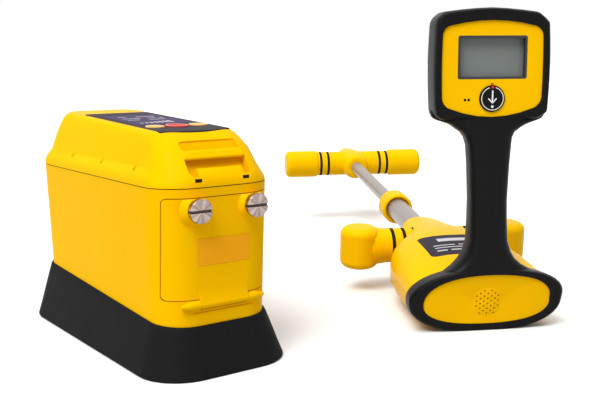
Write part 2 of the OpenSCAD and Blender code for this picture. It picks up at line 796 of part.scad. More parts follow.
module tx_output_socket() {
    y1 = half_l - tx_in(100);
    color("#2b2c2f") translate([0, 0, 100]) difference() {
        union() {
            rod_y(9, y1 + 0.35, y1 + 3);
            rod_y(6, y1 - 12, y1 + 1);
        }
        rod_y(3.2, y1 - 8, y1 + 5);
    }
}
module tx_socket_nut() {
    y1 = half_l - tx_in(100) - tx_wall;
    color("#a9acb0") translate([0, 0, 100]) difference() {
        translate([0, y1 - 4.4, 0]) rotate([-90, 0, 0]) cylinder(r = 9.5, h = 4, $fn = 6);
        rod_y(6.02, y1 - 6, y1 + 1);
    }
}

// Frame of the receiver: origin on the floor under its foot face, y along the wand's heading
module rx() {
    translate([rx_x, rx_y, 0]) rotate([0, 0, -rx_turn]) children();
}
// Frame of the wand inside the receiver: y along the tilted axis
module wand() {
    translate([0, 0, axis_z]) rotate([wand_tilt, 0, 0]) children();
}
// Solid prism of the end cover's outline, taken in by d
module cover_prism(d, y0, y1) {
    skin([for (y = [y0, y1]) arched(cover_a - d, cover_top - d, cover_low - d, cover_z, y, 2.25, 2.4)]);
}
// Solid prisms of the face plate's and the back cover's outlines, taken in by d
module face_prism(d, y0, y1) {
    skin([face_ring(d, y0), face_ring(d, y1)]);
}
module back_prism(d, y0, y1) {
    skin([back_ring(d, y0), back_ring(d, y1)]);
}
// Sections of the receiver body: y, half width, bottom, top
body_sections = [
    [foot_d + 2 * e, 72.5, -2, 58.5], [40, 72.5, -2.5, 64.5], [70, 71.5, -2.5, 69.5], [100, 69, -2.5, 73],
    [120, 66.5, -2.5, 74.6], [134, 62, -2.3, 75.4], [146, 54, -1.5, 75.8], [156, 46, 0.5, 76],
    [166, 39, 4, 75.6], [180, 34.5, 9, 75], [200, 32.5, 15, 74], [217, 29.5, 22, 73.2],
    [socket_y - 15, 25.4, 29, 72.4], [socket_y - 6, 21.4, 34.5, 71.8], [socket_y, 17.4, 38.2, 70.4]
];
// Body solid taken in by off, with m points to a section, over all sections or only some of them
module body_solid(off, m = 40, first = 0, last = len(body_sections) - 1) {
    intersection() {
        skin([for (i = [first:last])
            let (s = body_sections[i], y = s[0] - (i == 0 ? e * abs(off) : 0))
            oval(s[1] - off, (s[3] - s[2]) / 2 - off, (s[2] + s[3]) / 2, y, 2.6, m)]);
        box([-120, 0, off], [120, socket_y - off * 4, 200]);
    }
}
// The inside of the body, and what trims the pieces that stand in it
module body_inside() {
    body_solid(3, 24);
}
module body_trim() {
    body_solid(0.5, 24);
}
// The stretch of the body that its label covers
module body_back(off) {
    body_solid(off, 40, 1, 4);
}
module half_space(side) {
    wand() translate([-200, -100, side > 0 ? 0 : -200]) cube([400, 600, 200]);
}
module body_cuts() {
    wand() {
        rod_y(tube_r + 0.02, 60, 400);
        translate([0, cross_y, cross_up]) rod_x(arm_r + 0.05, -150, 150);
    }
}
// Frame of the cross bar on the wand
module cross_bar() {
    wand() translate([0, cross_y, cross_up]) children();
}
module rx_body_upper() {
    color("#f4b400") rx() difference() {
        union() {
            intersection() {
                difference() {
                    body_solid(0);
                    body_inside();
                }
                half_space(1);
            }
            intersection() {
                body_trim();
                half_space(1);
                body_columns();
            }
        }
        body_cuts();
        difference() {
            label_prism(0.2);
            body_back(0.85);
        }
        both_sides() for (p = body_screws)
            translate([p[0], p[1], 0]) cylinder(r = 1.55, h = split_z(p[1]) + 9);
    }
}
module rx_body_lower() {
    color("#f4b400") rx() difference() {
        union() {
            intersection() {
                difference() {
                    body_solid(0);
                    body_inside();
                }
                half_space(-1);
            }
            intersection() {
                body_trim();
                half_space(-1);
                union() {
                    // Saddles that carry the wand's outer tube
                    for (y = [110, 222]) wand() box([-18, y, -60], [18, y + 8, 0]);
                    body_columns();
                }
            }
            // Trough floor under the batteries
            both_sides() box([cell_x - 9, 30, 2.8], [cell_x + 9, 136, 4.5]);
        }
        body_cuts();
        both_sides() for (p = body_screws) translate([p[0], p[1], 0]) {
            translate([0, 0, -5]) cylinder(r = 3.2, h = 18.3);
            cylinder(r = 1.6, h = 80);
        }
    }
}
module label_prism(gap) {
    translate([0, label_y, 40]) linear_extrude(60)
        rounded(label_w + 2 * gap, label_l + 2 * gap, 6 + gap);
}
module rx_body_label() {
    color("#1f2023") rx() intersection() {
        difference() {
            body_back(0);
            body_back(0.85);
        }
        label_prism(0);
    }
}
// Height of the split between the body's halves
function split_z(y) = axis_z + y * tan(wand_tilt);
// The body's four screws stand upright beside the batteries
body_screws = [[58, 25], [36, 147]];
module body_columns() {
    both_sides() for (p = body_screws) translate([p[0], p[1], 0]) cylinder(r = 4.6, h = 100);
}
module rx_body_screws() {
    color("#8d9096") rx() both_sides() for (p = body_screws) translate([p[0], p[1], 11]) {
        cylinder(r = 2.9, h = 2.2);
        cylinder(r = 1.5, h = split_z(p[1]) - 4);
    }
}

// Sections of the handle: z, half width, half depth, middle y
handle_sections = [
    [28, 68, 8, 8], [44, 62, 8.5, 8.5], [51, 53, 10, 10], [55, 46, 11.3, 11.3], [59, 39.5, 12.4, 12.2],
    [64, 32, 13.4, 12.8], [70, 26, 14.2, 12.8], [77, 21.6, 14.8, 12.8], [88, handle_a + 0.8, 15, 12.6],
    [108, handle_a, 15, 12.4], [128, handle_a - 0.2, 15, 12.4], [162, handle_a + 1.2, 15, 12.8],
    [180, handle_a + 2.6, 15, 13.4], [187, handle_a + 4.6, 15.2, 14.4], [192, handle_a + 8, 15.4, 15.2],
    [198, 34, 15.6, 15.9], [204, 43, 15.6, 16.2], [212, 49, 15.5, 16.5]
];
module rx_grip_frame() {
    color("#1b1c1e") rx() difference() {
        union() {
            // Foot ring
            intersection() {
                skin([for (s = [[0, 0.955], [1.2, 0.978], [4, 1], [foot_d, 1]])
                    arched(foot_a * s[1], foot_top * s[1], foot_low * s[1], foot_z, s[0], 2.1, 2.35)]);
                box([-120, -10, 0], [120, 60, 90]);
            }
            // Handle, flaring into the foot and the head
            skin([for (s = handle_sections) level_oval(s[1], s[2], s[3], s[0], 3)]);
            // Head
            skin([for (s = [[3.3, 0.2], [1.9, 0.8], [0.8, 2.6], [0.2, 5.5], [0, 9], [0, 26], [1.4, 31],
                [4.4, head_y1]]) head_ring(s[0], s[1])]);
        }
        // Opening of the foot for the end cover, and the way through to the body
        cover_prism(-0.25, -10, 4.5);
        cover_prism(3, 0, 60);
        // Recess of the head for the face plate, the space behind it and the seat of the back cover
        face_prism(-0.25, -20, ledge_y);
        face_prism(3.5, 0, back_y - 6);
        back_prism(14, 10, 60);
        back_prism(3.4, back_y, 60);
        at_back_screws() rod_y(1.55, back_y - 5, 60);
        body_solid(-0.2, 40, 0, 1);
    }
}
module rx_face_plate() {
    color("#f7ba08") rx() difference() {
        union() {
            face_prism(0, face_y, ledge_y);
            for (x = [-1, 1]) for (z = [face_c - 16, face_c + 20])
                translate([x * (face_a - 6.6), 0, z]) rod_y(2, ledge_y - 1, 13);
        }
        translate([0, 0, lcd_z]) upright_plate(lcd_w, lcd_h, 2, -5, 10);
        translate([0, 0, button_z]) rod_y(button_r + 0.25, -5, 10);
        translate([-26, 0, button_z - 1]) rod_y(0.9, -5, face_y + 1);
        translate([-22.5, 0, button_z - 1]) rod_y(0.9, -5, face_y + 1);
    }
}
module rx_display_frame() {
    color("#121315") rx() translate([0, 0, lcd_z]) difference() {
        upright_plate(lcd_w + 5, lcd_h + 5, 2, ledge_y, 9);
        upright_plate(lcd_w - 2.4, lcd_h - 2.4, 1.5, 0, 20);
    }
}
module rx_display_window() {
    color("#70757a") rx() translate([0, 0, lcd_z]) upright_plate(lcd_w + 4, lcd_h + 4, 1, 9, 13);
}
module rx_push_button() {
    color("#17181a") rx() translate([0, 0, button_z]) {
        rod_y(button_r, 0.4, 6.2);
        rod_y(button_r + 0.8, ledge_y + 0.2, 7.6);
        rod_y(3, 7.5, 11.3);
    }
}
module rx_head_board() {
    color("#1f6b3a") rx() face_prism(4, 13, 14.6);
}
module rx_head_back() {
    color("#232427") rx() difference() {
        back_prism(3.65, back_y, back_y + 3);
        at_back_screws() rod_y(1.6, back_y - 5, 60);
        at_back_screws() rod_y(3.1, back_y + 1.6, 60);
    }
}
module at_back_screws() {
    for (x = [-1, 1]) for (z = [-1, 1])
        translate([x * (face_a - 9.6), 0, face_c + z * (face_b - 9.6)]) children();
}
module rx_head_screws() {
    color("#8d9096") rx() at_back_screws() {
        rod_y(2.9, back_y + 1.6, back_y + 3.2);
        rod_y(1.5, back_y - 4, back_y + 1.7);
    }
}
module rx_end_cover() {
    color("#f4b400") rx() difference() {
        union() {
            cover_prism(0, 1.2, 4.5);
            // Low dome over the speaker
            translate([0, 1.25, cover_z]) rotate([90, 0, 0]) rotate_extrude() intersection() {
                translate([0, dome_h - dome_ball]) circle(dome_ball, $fn = 240);
                square([dome_r, dome_h]);
            }
        }
        for (i = [-3:3]) for (j = [-2:2]) if (abs(i) + abs(j) < 5)
            translate([i * 3.6, 0, cover_z + j * 5 + (abs(i) % 2) * 2.5 - 1.2]) rod_y(0.9, -2, 6);
    }
}
module rx_speaker() {
    color("#2d2e31") rx() translate([0, 0, cover_z]) {
        rod_y(speaker_r, 4.5, 7);
        translate([0, 7, 0]) rotate([-90, 0, 0]) cylinder(r1 = speaker_r, r2 = 8, h = 5);
        rod_y(9, 11.9, 17);
    }
}
module rx_arms() {
    color("#f4b400") rx() cross_bar() both_sides() difference() {
        rod_x(arm_r, arm_x0, barrel_x - 10);
        rod_x(arm_r - 3.5, arm_x0 - 1, barrel_x);
        for (x = arm_bands) tube_x(arm_r + 1, arm_r - 0.9, x - band_w / 2, x + band_w / 2);
    }
}
module rx_arm_bands() {
    color("#151618") rx() cross_bar() both_sides()
        for (x = arm_bands) tube_x(arm_r, arm_r - 0.9, x - band_w / 2, x + band_w / 2);
}
// Upright rounded barrel
module barrel(r, h, f) {
    rotate_extrude() {
        translate([0, -h / 2]) square([r - f, h]);
        translate([0, -h / 2 + f]) square([r, h - 2 * f]);
        for (z = [-1, 1]) translate([r - f, z * (h / 2 - f)]) intersection() {
            circle(f);
            translate([0, z > 0 ? 0 : -f]) square(f);
        }
    }
}
module rx_barrels() {
    color("#f4b400") rx() cross_bar() both_sides() difference() {
        union() {
            translate([barrel_x, 0, 0]) barrel(barrel_r, barrel_h, 9);
            translate([barrel_x - 28, 0, 0]) rotate([0, 90, 0])
                cylinder(r1 = arm_r + 0.4, r2 = barrel_r - 0.6, h = 14);
        }
        translate([barrel_x, 0, 0]) cylinder(r = barrel_r - 3.5, h = barrel_h - 8, center = true);
        rod_x(arm_r + 0.04, barrel_x - 40, barrel_x - 10);
    }
}
module rx_side_coils() {
    color("#b4632a") rx() cross_bar() both_sides() translate([barrel_x + 2, 0, 0])
        cylinder(r = 8, h = barrel_h - 8, center = true);
}
module rx_battery_pack() {
    color("#3a3d42") rx() both_sides() for (j = [0, 1])
        translate([cell_x, 30.5 + 50.5 * j, 4.5 + c_cell_r]) rod_y(c_cell_r, 0, 50);
}
module rx_main_board() {
    color("#1f6b3a") rx() wand()
        box([-board_w / 2, 70, tube_r + 0.02], [board_w / 2, 70 + board_l, tube_r + 1.6]);
}
module rx_outer_tube() {
    color("#9a9da1") rx() wand() tube_y(tube_r, tube_r - tube_wall, 95, tube_end);
}
module rx_guide_bush() {
    color("#2b2c2f") rx() wand() tube_y(tube_r - tube_wall, inner_r + 0.05, tube_end - bush_l, tube_end);
}
module rx_lock_collar() {
    color("#f4b400") rx() wand() difference() {
        union() {
            rod_y(collar_r, collar_y + 2, collar_y + 26);
            translate([0, collar_y, 0]) rotate([-90, 0, 0])
                cylinder(r1 = collar_r - 2, r2 = collar_r, h = 2.01);
            translate([0, collar_y + 25.99, 0]) rotate([-90, 0, 0])
                cylinder(r1 = collar_r, r2 = collar_r - 4, h = 3.5);
        }
        rod_y(collar_r - 3.5, collar_y - 1, collar_y + 5);
        rod_y(tube_r + 0.05, collar_y, tube_end + 6);
        rod_y(inner_r + 0.4, collar_y, collar_y + 40);
    }
}
module rx_collet() {
    color("#d8d9db") rx() wand() tube_y(tube_r - 0.3, inner_r + 0.05, tube_end, tube_end + 5.8);
}
module rx_inner_tube() {
    color("#a6a9ad") rx() wand() tube_y(inner_r, inner_r - tube_wall, inner_y0, tee_y - 12);
}
module rx_tube_stop() {
    color("#2b2c2f") rx() wand() tube_y(tube_r - tube_wall - 0.05, inner_r, inner_y0, inner_y0 + 13);
}
module rx_tee_hub() {
    color("#f4b400") rx() wand() difference() {
        union() {
            translate([0, tee_y, 0]) rotate([-90, 0, 0]) rotate_extrude() polygon(hub_profile);
            translate([0, tee_y, 0]) rod_x(tee_r, -36, 36);
        }
        rod_y(inner_r + 0.01, tee_y - 50, tee_y - 12);
        translate([0, tee_y, 0]) rod_x(5.02, -60, 60);
        both_sides() translate([0, tee_y, 0]) rod_x(tee_r - 4, 30, 60);
    }
}
// Profile of one tee cap, turned about the bar
module rx_tee_caps() {
    color("#f7ba08") rx() wand() translate([0, tee_y, 0]) both_sides() difference() {
        union() {
            rod_x(tee_r, 36, 60);
            translate([57.9, 0, 0]) rotate([0, 90, 0]) cylinder(r1 = tee_r, r2 = tee_cap_r, h = 3);
            rod_x(tee_cap_r, 60.8, tee_a - 8);
            translate([tee_a - 8.01, 0, 0]) rotate([0, 90, 0]) rotate_extrude() {
                square([tee_cap_r - 8, 8]);
                translate([tee_cap_r - 8, 0]) intersection() {
                    circle(8);
                    square(8);
                }
            }
        }
        rod_x(tee_r - 4, 35, tee_a - 5);
        for (x = [42, 54]) tube_x(tee_r + 5, tee_r - 0.9, x - band_w / 2, x + band_w / 2);
    }
}
module rx_tee_bands() {
    color("#151618") rx() wand() translate([0, tee_y, 0]) both_sides()
        for (x = [42, 54]) tube_x(tee_r, tee_r - 0.9, x - band_w / 2, x + band_w / 2);
}
module rx_tee_rod() {
    color("#3b3b3d") rx() wand() translate([0, tee_y, 0]) rod_x(5, 5 - tee_a, tee_a - 5);
}
module rx_tee_coils() {
    color("#b4632a") rx() wand() translate([0, tee_y, 0]) both_sides() tube_x(9, 5, 50, 100);
}

tx_base_boot();
tx_lower_housing();
tx_upper_housing();
tx_case_seal();
tx_control_panel();
tx_display_window();
tx_key_left();
tx_key_power();
tx_key_right();
tx_battery_door();
tx_door_label();
tx_hinge_pin();
tx_door_screw_left();
tx_door_screw_right();
tx_screw_inserts();
tx_door_seal();
tx_door_contacts();
tx_lid_plugs();
tx_battery_holder();
tx_batteries();
tx_battery_contacts();
tx_circuit_board();
tx_induction_coil();
tx_coil_core();
tx_output_socket();
tx_socket_nut();
tx_case_screws();
tx_base_screws();
rx_grip_frame();
rx_face_plate();
rx_display_frame();
rx_display_window();
rx_push_button();
rx_head_board();
rx_head_back();
rx_head_screws();
rx_end_cover();
rx_speaker();
rx_body_upper();
rx_body_lower();
rx_body_label();
rx_arms();
rx_barrels();
rx_arm_bands();
rx_side_coils();
rx_battery_pack();
rx_main_board();
rx_body_screws();
rx_outer_tube();
rx_guide_bush();
rx_lock_collar();
rx_collet();
rx_inner_tube();
rx_tube_stop();
rx_tee_hub();
rx_tee_caps();
rx_tee_bands();
rx_tee_rod();
rx_tee_coils();
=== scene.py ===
# %% [markdown]
# # A cable locator in its two pieces
#
# The object is a pair of instruments. The transmitter is a yellow battery case in a black rubber boot. The
# receiver is a black grip with a display, a wedge-shaped yellow body, a cross bar and a telescopic wand.
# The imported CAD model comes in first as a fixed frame: it already has every solid in its place, in metres.
# This lesson adds finishes, softer edges and the small printed marks, and it gives the grip, its end cover
# and the transmitter's lid the last touches of their outer form.

import json
import math

import bmesh
import bpy
from mathutils import Matrix, Vector
from mathutils.bvhtree import BVHTree


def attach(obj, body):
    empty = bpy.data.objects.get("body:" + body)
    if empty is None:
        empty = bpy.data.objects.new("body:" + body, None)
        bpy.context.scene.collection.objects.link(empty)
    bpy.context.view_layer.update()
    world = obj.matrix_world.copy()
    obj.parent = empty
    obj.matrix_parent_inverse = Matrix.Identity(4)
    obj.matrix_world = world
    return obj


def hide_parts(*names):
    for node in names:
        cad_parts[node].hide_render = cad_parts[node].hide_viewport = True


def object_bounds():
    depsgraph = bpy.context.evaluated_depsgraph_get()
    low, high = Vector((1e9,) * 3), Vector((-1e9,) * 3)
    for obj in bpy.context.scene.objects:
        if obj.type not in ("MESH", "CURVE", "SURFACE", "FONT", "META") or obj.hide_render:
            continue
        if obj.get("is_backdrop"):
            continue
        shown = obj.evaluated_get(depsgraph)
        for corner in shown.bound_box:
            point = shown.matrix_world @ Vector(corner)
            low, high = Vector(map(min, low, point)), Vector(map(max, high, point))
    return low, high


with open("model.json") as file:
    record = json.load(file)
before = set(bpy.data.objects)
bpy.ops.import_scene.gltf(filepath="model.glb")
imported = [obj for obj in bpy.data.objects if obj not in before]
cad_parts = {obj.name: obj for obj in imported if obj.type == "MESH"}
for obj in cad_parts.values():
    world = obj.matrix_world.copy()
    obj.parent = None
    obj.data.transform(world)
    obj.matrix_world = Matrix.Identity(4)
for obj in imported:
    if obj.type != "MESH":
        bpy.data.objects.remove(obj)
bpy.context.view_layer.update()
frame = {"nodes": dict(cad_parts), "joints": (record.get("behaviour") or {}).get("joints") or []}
nodes = frame["nodes"]
joints = {j["name"]: j for j in frame["joints"]}
MM = 0.001
print("nodes:", len(nodes), "joints:", len(joints))

# %% [markdown]
# ## Working frames
#
# The transmitter stands square to the axes, but its top slopes, the receiver is turned and its wand tilts.
# Rather than repeat those angles here, they are read from the joints: a key is pressed square to the panel,
# the round button is pressed square to the receiver's face and the wand slides along itself.
# A frame is three unit vectors, and a point in it is measured along them from the origin of the whole scene.

# %% Directions, and how far a node reaches along one
UP = Vector((0, 0, 1))
RIGHT = Vector((1, 0, 0))
BACK = Vector((0, 1, 0))


def span(node, axis):
    """Lowest and highest reach of a CAD node along a direction."""
    reach = [v.co.dot(axis) for v in nodes[node].data.vertices]
    return min(reach), max(reach)


def middle(node, axis):
    """Halfway between a node's lowest and highest reach."""
    low, high = span(node, axis)
    return (low + high) / 2


boot_left, boot_right = span("tx_base_boot", RIGHT)
print("boot's width in mm", round((boot_right - boot_left) / MM, 1))

# %% Frames of the panel, the receiver's face and the wand
def make_frame(across, along, out):
    return {"across": across.normalized(), "along": along.normalized(), "out": out.normalized()}


def frame_turn(local):
    """Turn from a frame's own axes to the scene's."""
    return Matrix((local["across"], local["along"], local["out"])).transposed()


def frame_at(local, origin):
    """Matrix for a mesh drawn in across, along, out, that puts its origin at a point of the scene."""
    return Matrix.Translation(origin) @ frame_turn(local).to_4x4()


def frame_matrix(local, across, along, out):
    """The same matrix, for an origin that is measured along the frame's own axes."""
    return frame_at(local, frame_turn(local) @ Vector((across, along, out)))


panel_out = -Vector(joints["power_key_press"]["axis"])
panel_frame = make_frame(RIGHT, panel_out.cross(RIGHT), panel_out)
face_in = Vector(joints["button_press"]["axis"])
face_frame = make_frame(face_in.cross(UP), UP, -face_in)
face_across = face_frame["across"]
wand_along = Vector(joints["wand_slide"]["axis"])
wand_frame = make_frame(face_across, wand_along, face_across.cross(wand_along))
print("panel's tilt", round(math.degrees(panel_out.angle(UP)), 2), "degrees")
print("wand's tilt", round(90 - math.degrees(wand_along.angle(UP)), 2), "degrees")

# %% [markdown]
# ## Finishes
#
# Moulded plastic is never one flat colour: the tool leaves a fine grain, the gloss drifts a little and the
# tone shifts slowly over a large wall. Those effects are wanted in nearly every finish, so they are one node
# group with named inputs, placed in each material with its own values, and the fine scuffs of use are a
# second one. They could be painted as images, but that needs UV maps. Noise on Object coordinates needs
# none, and because every piece sits at the origin, the pattern stays with it when it moves.

# %% Helpers for shader nodes
FLOAT = "NodeSocketFloat"
VECTOR = "NodeSocketVector"


def new_group(name, inputs, outputs):
    """Empty node group with its sockets, and its two end nodes."""
    group = bpy.data.node_groups.new(name, "ShaderNodeTree")
    for label, kind, value in inputs:
        socket = group.interface.new_socket(label, in_out="INPUT", socket_type=kind)
        socket.default_value = value
    for label, kind in outputs:
        group.interface.new_socket(label, in_out="OUTPUT", socket_type=kind)
    return group, group.nodes.new("NodeGroupInput"), group.nodes.new("NodeGroupOutput")


def feed(tree, socket, value):
    """Give a socket either a constant or what another node puts out."""
    if isinstance(value, bpy.types.NodeSocket):
        tree.links.new(value, socket)
    else:
        socket.default_value = value


def math_node(tree, operation, *values, kind="ShaderNodeMath"):
    node = tree.nodes.new(kind)
    node.operation = operation
    for socket, value in zip(node.inputs, values):
        feed(tree, socket, value)
    return node.outputs[0]


def vector_node(tree, operation, *values):
    return math_node(tree, operation, *values, kind="ShaderNodeVectorMath")


def noise(tree, coords, scale, detail=2.0):
    node = tree.nodes.new("ShaderNodeTexNoise")
    node.inputs["Detail"].default_value = detail
    feed(tree, node.inputs["Vector"], coords)
    feed(tree, node.inputs["Scale"], scale)
    return node.outputs["Fac"]


print("materials so far:", len(bpy.data.materials))

# %% Node group for moulded grain
# Waves per metre of the slow change of tone and of the patches of gloss
TONE_SCALE = 7.0
PATCH_SCALE = 38.0
moulded, inlet, outlet = new_group(
    "moulded_surface",
    [("Vector", VECTOR, (0, 0, 0)), ("Grain Scale", FLOAT, 900.0), ("Gloss", FLOAT, 0.35),
     ("Gloss Drift", FLOAT, 0.1)],
    [("Tone", FLOAT), ("Roughness", FLOAT), ("Height", FLOAT)],
)
where = inlet.outputs["Vector"]
slow = noise(moulded, where, TONE_SCALE, detail=1.0)
grain = noise(moulded, where, inlet.outputs["Grain Scale"], detail=3.0)
patches = noise(moulded, where, PATCH_SCALE, detail=4.0)
centred = math_node(moulded, "SUBTRACT", patches, 0.5)
drift = math_node(moulded, "MULTIPLY", centred, inlet.outputs["Gloss Drift"])
moulded.links.new(slow, outlet.inputs["Tone"])
moulded.links.new(math_node(moulded, "ADD", inlet.outputs["Gloss"], drift), outlet.inputs["Roughness"])
moulded.links.new(grain, outlet.inputs["Height"])
print("grain group has", len(moulded.nodes), "nodes")

# %% Node group for fine scuffs
STREAK_TURN = (0.4, 0.9, 0.5)
STREAK_SQUEEZE = (1.0, 14.0, 14.0)
STREAK_SCALE = 45.0
STREAK_LIMIT = 0.71
scuffed, inlet, outlet = new_group(
    "fine_scuffs",
    [("Vector", VECTOR, (0, 0, 0)), ("Amount", FLOAT, 0.5)],
    [("Mask", FLOAT)],
)
stretch = scuffed.nodes.new("ShaderNodeMapping")
stretch.inputs["Rotation"].default_value = STREAK_TURN
stretch.inputs["Scale"].default_value = STREAK_SQUEEZE
scuffed.links.new(inlet.outputs["Vector"], stretch.inputs["Vector"])
streaks = noise(scuffed, stretch.outputs["Vector"], STREAK_SCALE, detail=5.0)
thin = math_node(scuffed, "GREATER_THAN", streaks, STREAK_LIMIT)
scuffed.links.new(math_node(scuffed, "MULTIPLY", thin, inlet.outputs["Amount"]), outlet.inputs["Mask"])
print("groups:", [g.name for g in bpy.data.node_groups])

# %% [markdown]
# A helper builds one moulded finish: two close tones mixed by the slow drift, a roughness that wanders and
# a bump from the grain. What is the same all over the surface, such as the specular level, is set straight
# on the shader's own sockets.

# %% A moulded finish
def start_material(name):
    material = bpy.data.materials.new(name)
    material.use_nodes = True
    tree = material.node_tree
    shader = tree.nodes["Principled BSDF"]
    coords = tree.nodes.new("ShaderNodeTexCoord").outputs["Object"]
    return material, tree, shader, coords


def mix_colors(tree, factor, first, second):
    mix = tree.nodes.new("ShaderNodeMix")
    mix.data_type = "RGBA"
    for socket, value in ((mix.inputs[0], factor), (mix.inputs[6], first), (mix.inputs[7], second)):
        feed(tree, socket, (*value, 1) if isinstance(value, tuple) else value)
    return mix.outputs[2]


def bump_from(tree, shader, height, depth):
    bump = tree.nodes.new("ShaderNodeBump")
    bump.inputs["Distance"].default_value = depth
    bump.inputs["Strength"].default_value = 1.0
    tree.links.new(height, bump.inputs["Height"])
    tree.links.new(bump.outputs["Normal"], shader.inputs["Normal"])


def place_group(tree, group, coords, values):
    """Put a shared effect into a material with that material's own values."""
    effect = tree.nodes.new("ShaderNodeGroup")
    effect.node_tree = group
    tree.links.new(coords, effect.inputs["Vector"])
    for label, value in values.items():
        effect.inputs[label].default_value = value
    return effect.outputs


def moulded_finish(name, tones, gloss, drift=0.1, grain_scale=900.0, grain_depth=0.04 * MM, scuff=0.0,
                   **sockets):
    material, tree, shader, coords = start_material(name)
    values = {"Grain Scale": grain_scale, "Gloss": gloss, "Gloss Drift": drift}
    surface = place_group(tree, moulded, coords, values)
    roughness = surface["Roughness"]
    if scuff:
        marks = place_group(tree, scuffed, coords, {"Amount": scuff})
        roughness = math_node(tree, "ADD", roughness, marks["Mask"])
    tree.links.new(mix_colors(tree, surface["Tone"], *tones), shader.inputs["Base Color"])
    tree.links.new(roughness, shader.inputs["Roughness"])
    bump_from(tree, shader, surface["Height"], grain_depth)
    for label, value in sockets.items():
        shader.inputs[label.replace("_", " ")].default_value = value
    return material


YELLOW = ((0.90, 0.475, 0.0), (0.95, 0.53, 0.0))
shell_yellow = moulded_finish("shell_yellow", YELLOW, gloss=0.32, drift=0.08, scuff=0.04,
                              Specular_IOR_Level=0.008)
receiver_yellow = moulded_finish("receiver_yellow", YELLOW, gloss=0.27, drift=0.06, scuff=0.03,
                                 Specular_IOR_Level=0.025)
print("yellow finishes:", shell_yellow.name, receiver_yellow.name)

# %% Rubber, grip and plain plastics
boot_rubber = moulded_finish("boot_rubber", ((0.0065, 0.0065, 0.0075), (0.010, 0.010, 0.011)), gloss=0.66,
                             drift=0.16, grain_scale=1400.0, grain_depth=0.12 * MM, scuff=0.08,
                             Specular_IOR_Level=0.06)
grip_black = moulded_finish("grip_black", ((0.0055, 0.0055, 0.006), (0.008, 0.008, 0.0085)), gloss=0.32,
                            grain_scale=1600.0, grain_depth=0.08 * MM, Specular_IOR_Level=0.07)
seal_black = moulded_finish("seal_black", ((0.009, 0.009, 0.009), (0.014, 0.014, 0.014)), gloss=0.7,
                            Specular_IOR_Level=0.1)
black_plastic = moulded_finish("black_plastic", ((0.012, 0.012, 0.013), (0.018, 0.018, 0.02)), gloss=0.5)
white_plastic = moulded_finish("white_plastic", ((0.74, 0.74, 0.72), (0.8, 0.8, 0.79)), gloss=0.45)
print("plastics:", [m.name for m in (boot_rubber, grip_black, seal_black, black_plastic, white_plastic)])

# %% Panel, keys, label and prints
panel_dark = moulded_finish("panel_dark", ((0.034, 0.030, 0.038), (0.046, 0.041, 0.05)), gloss=0.5,
                            drift=0.06, grain_scale=1800.0, grain_depth=0.03 * MM, Specular_IOR_Level=0.02)
key_orange = moulded_finish("key_orange", ((0.86, 0.50, 0.12), (0.90, 0.56, 0.17)), gloss=0.5, drift=0.08,
                            Specular_IOR_Level=0.05)
key_red = moulded_finish("key_red", ((0.66, 0.045, 0.03), (0.74, 0.06, 0.04)), gloss=0.5, drift=0.08,
                         Specular_IOR_Level=0.05)
label_orange = moulded_finish("label_orange", ((0.94, 0.39, 0.008), (0.97, 0.42, 0.01)), gloss=0.4,
                              drift=0.06, grain_scale=300.0, grain_depth=0.01 * MM, Specular_IOR_Level=0.02)
print_white = moulded_finish("print_white", ((0.82, 0.82, 0.8), (0.88, 0.88, 0.86)), gloss=0.5, drift=0.05)
print_and_highlight_pale = moulded_finish("print_and_highlight_pale", ((0.56, 0.53, 0.56), (0.62, 0.59, 0.62)), gloss=0.5, drift=0.05,
                            Specular_IOR_Level=0.1)
print_red = moulded_finish("print_red", ((0.56, 0.035, 0.012), (0.62, 0.045, 0.015)), gloss=0.5, drift=0.05,
                           Specular_IOR_Level=0.1)
print("moulded finishes:", len(bpy.data.materials))

# %% [markdown]
# ## Metals, windows and what is inside
#
# A turned screw head has fine rings round its axis, and light on them fans out from the middle in bright and
# dark spokes. So the steel is anisotropic, with its tangent running round the axis, and its tone changes
# with the direction from the axis alone: those bright and dark spokes are painted into its colour as a
# painted highlight. The slot is painted darker, as painted shade. The tubes are drawn, so theirs is a set of
# fine lines along the wand. The display's glass is a plain grey with a low gloss.

# %% Turned steel of the door screws
# Half width of the slot, and how far behind the head's front its painted shade starts
SLOT_HALF = 1.12 * MM
SLOT_EDGE = 0.4 * MM
# Colours of the bright and dark spokes, a painted highlight, and of the slot's painted shade
STEEL_PAINTED_GLINT_DARK = (0.24, 0.185, 0.165)
STEEL_PAINTED_GLINT_BRIGHT = (0.5, 0.40, 0.365)
SLOT_PAINTED_SHADE = (0.07, 0.055, 0.05)
PAINTED_GLINT_SCALE = 2.6
PAINTED_GLINT_CONTRAST = (0.36, 0.62)
RING_SCALE = 4000.0
# Swing and lowest value of the roughness
STEEL_GLOSS = (0.14, 0.16)
ALONG_AXIS = (0, 1, 0)
ROUND_AXIS = (1, 0, 1)


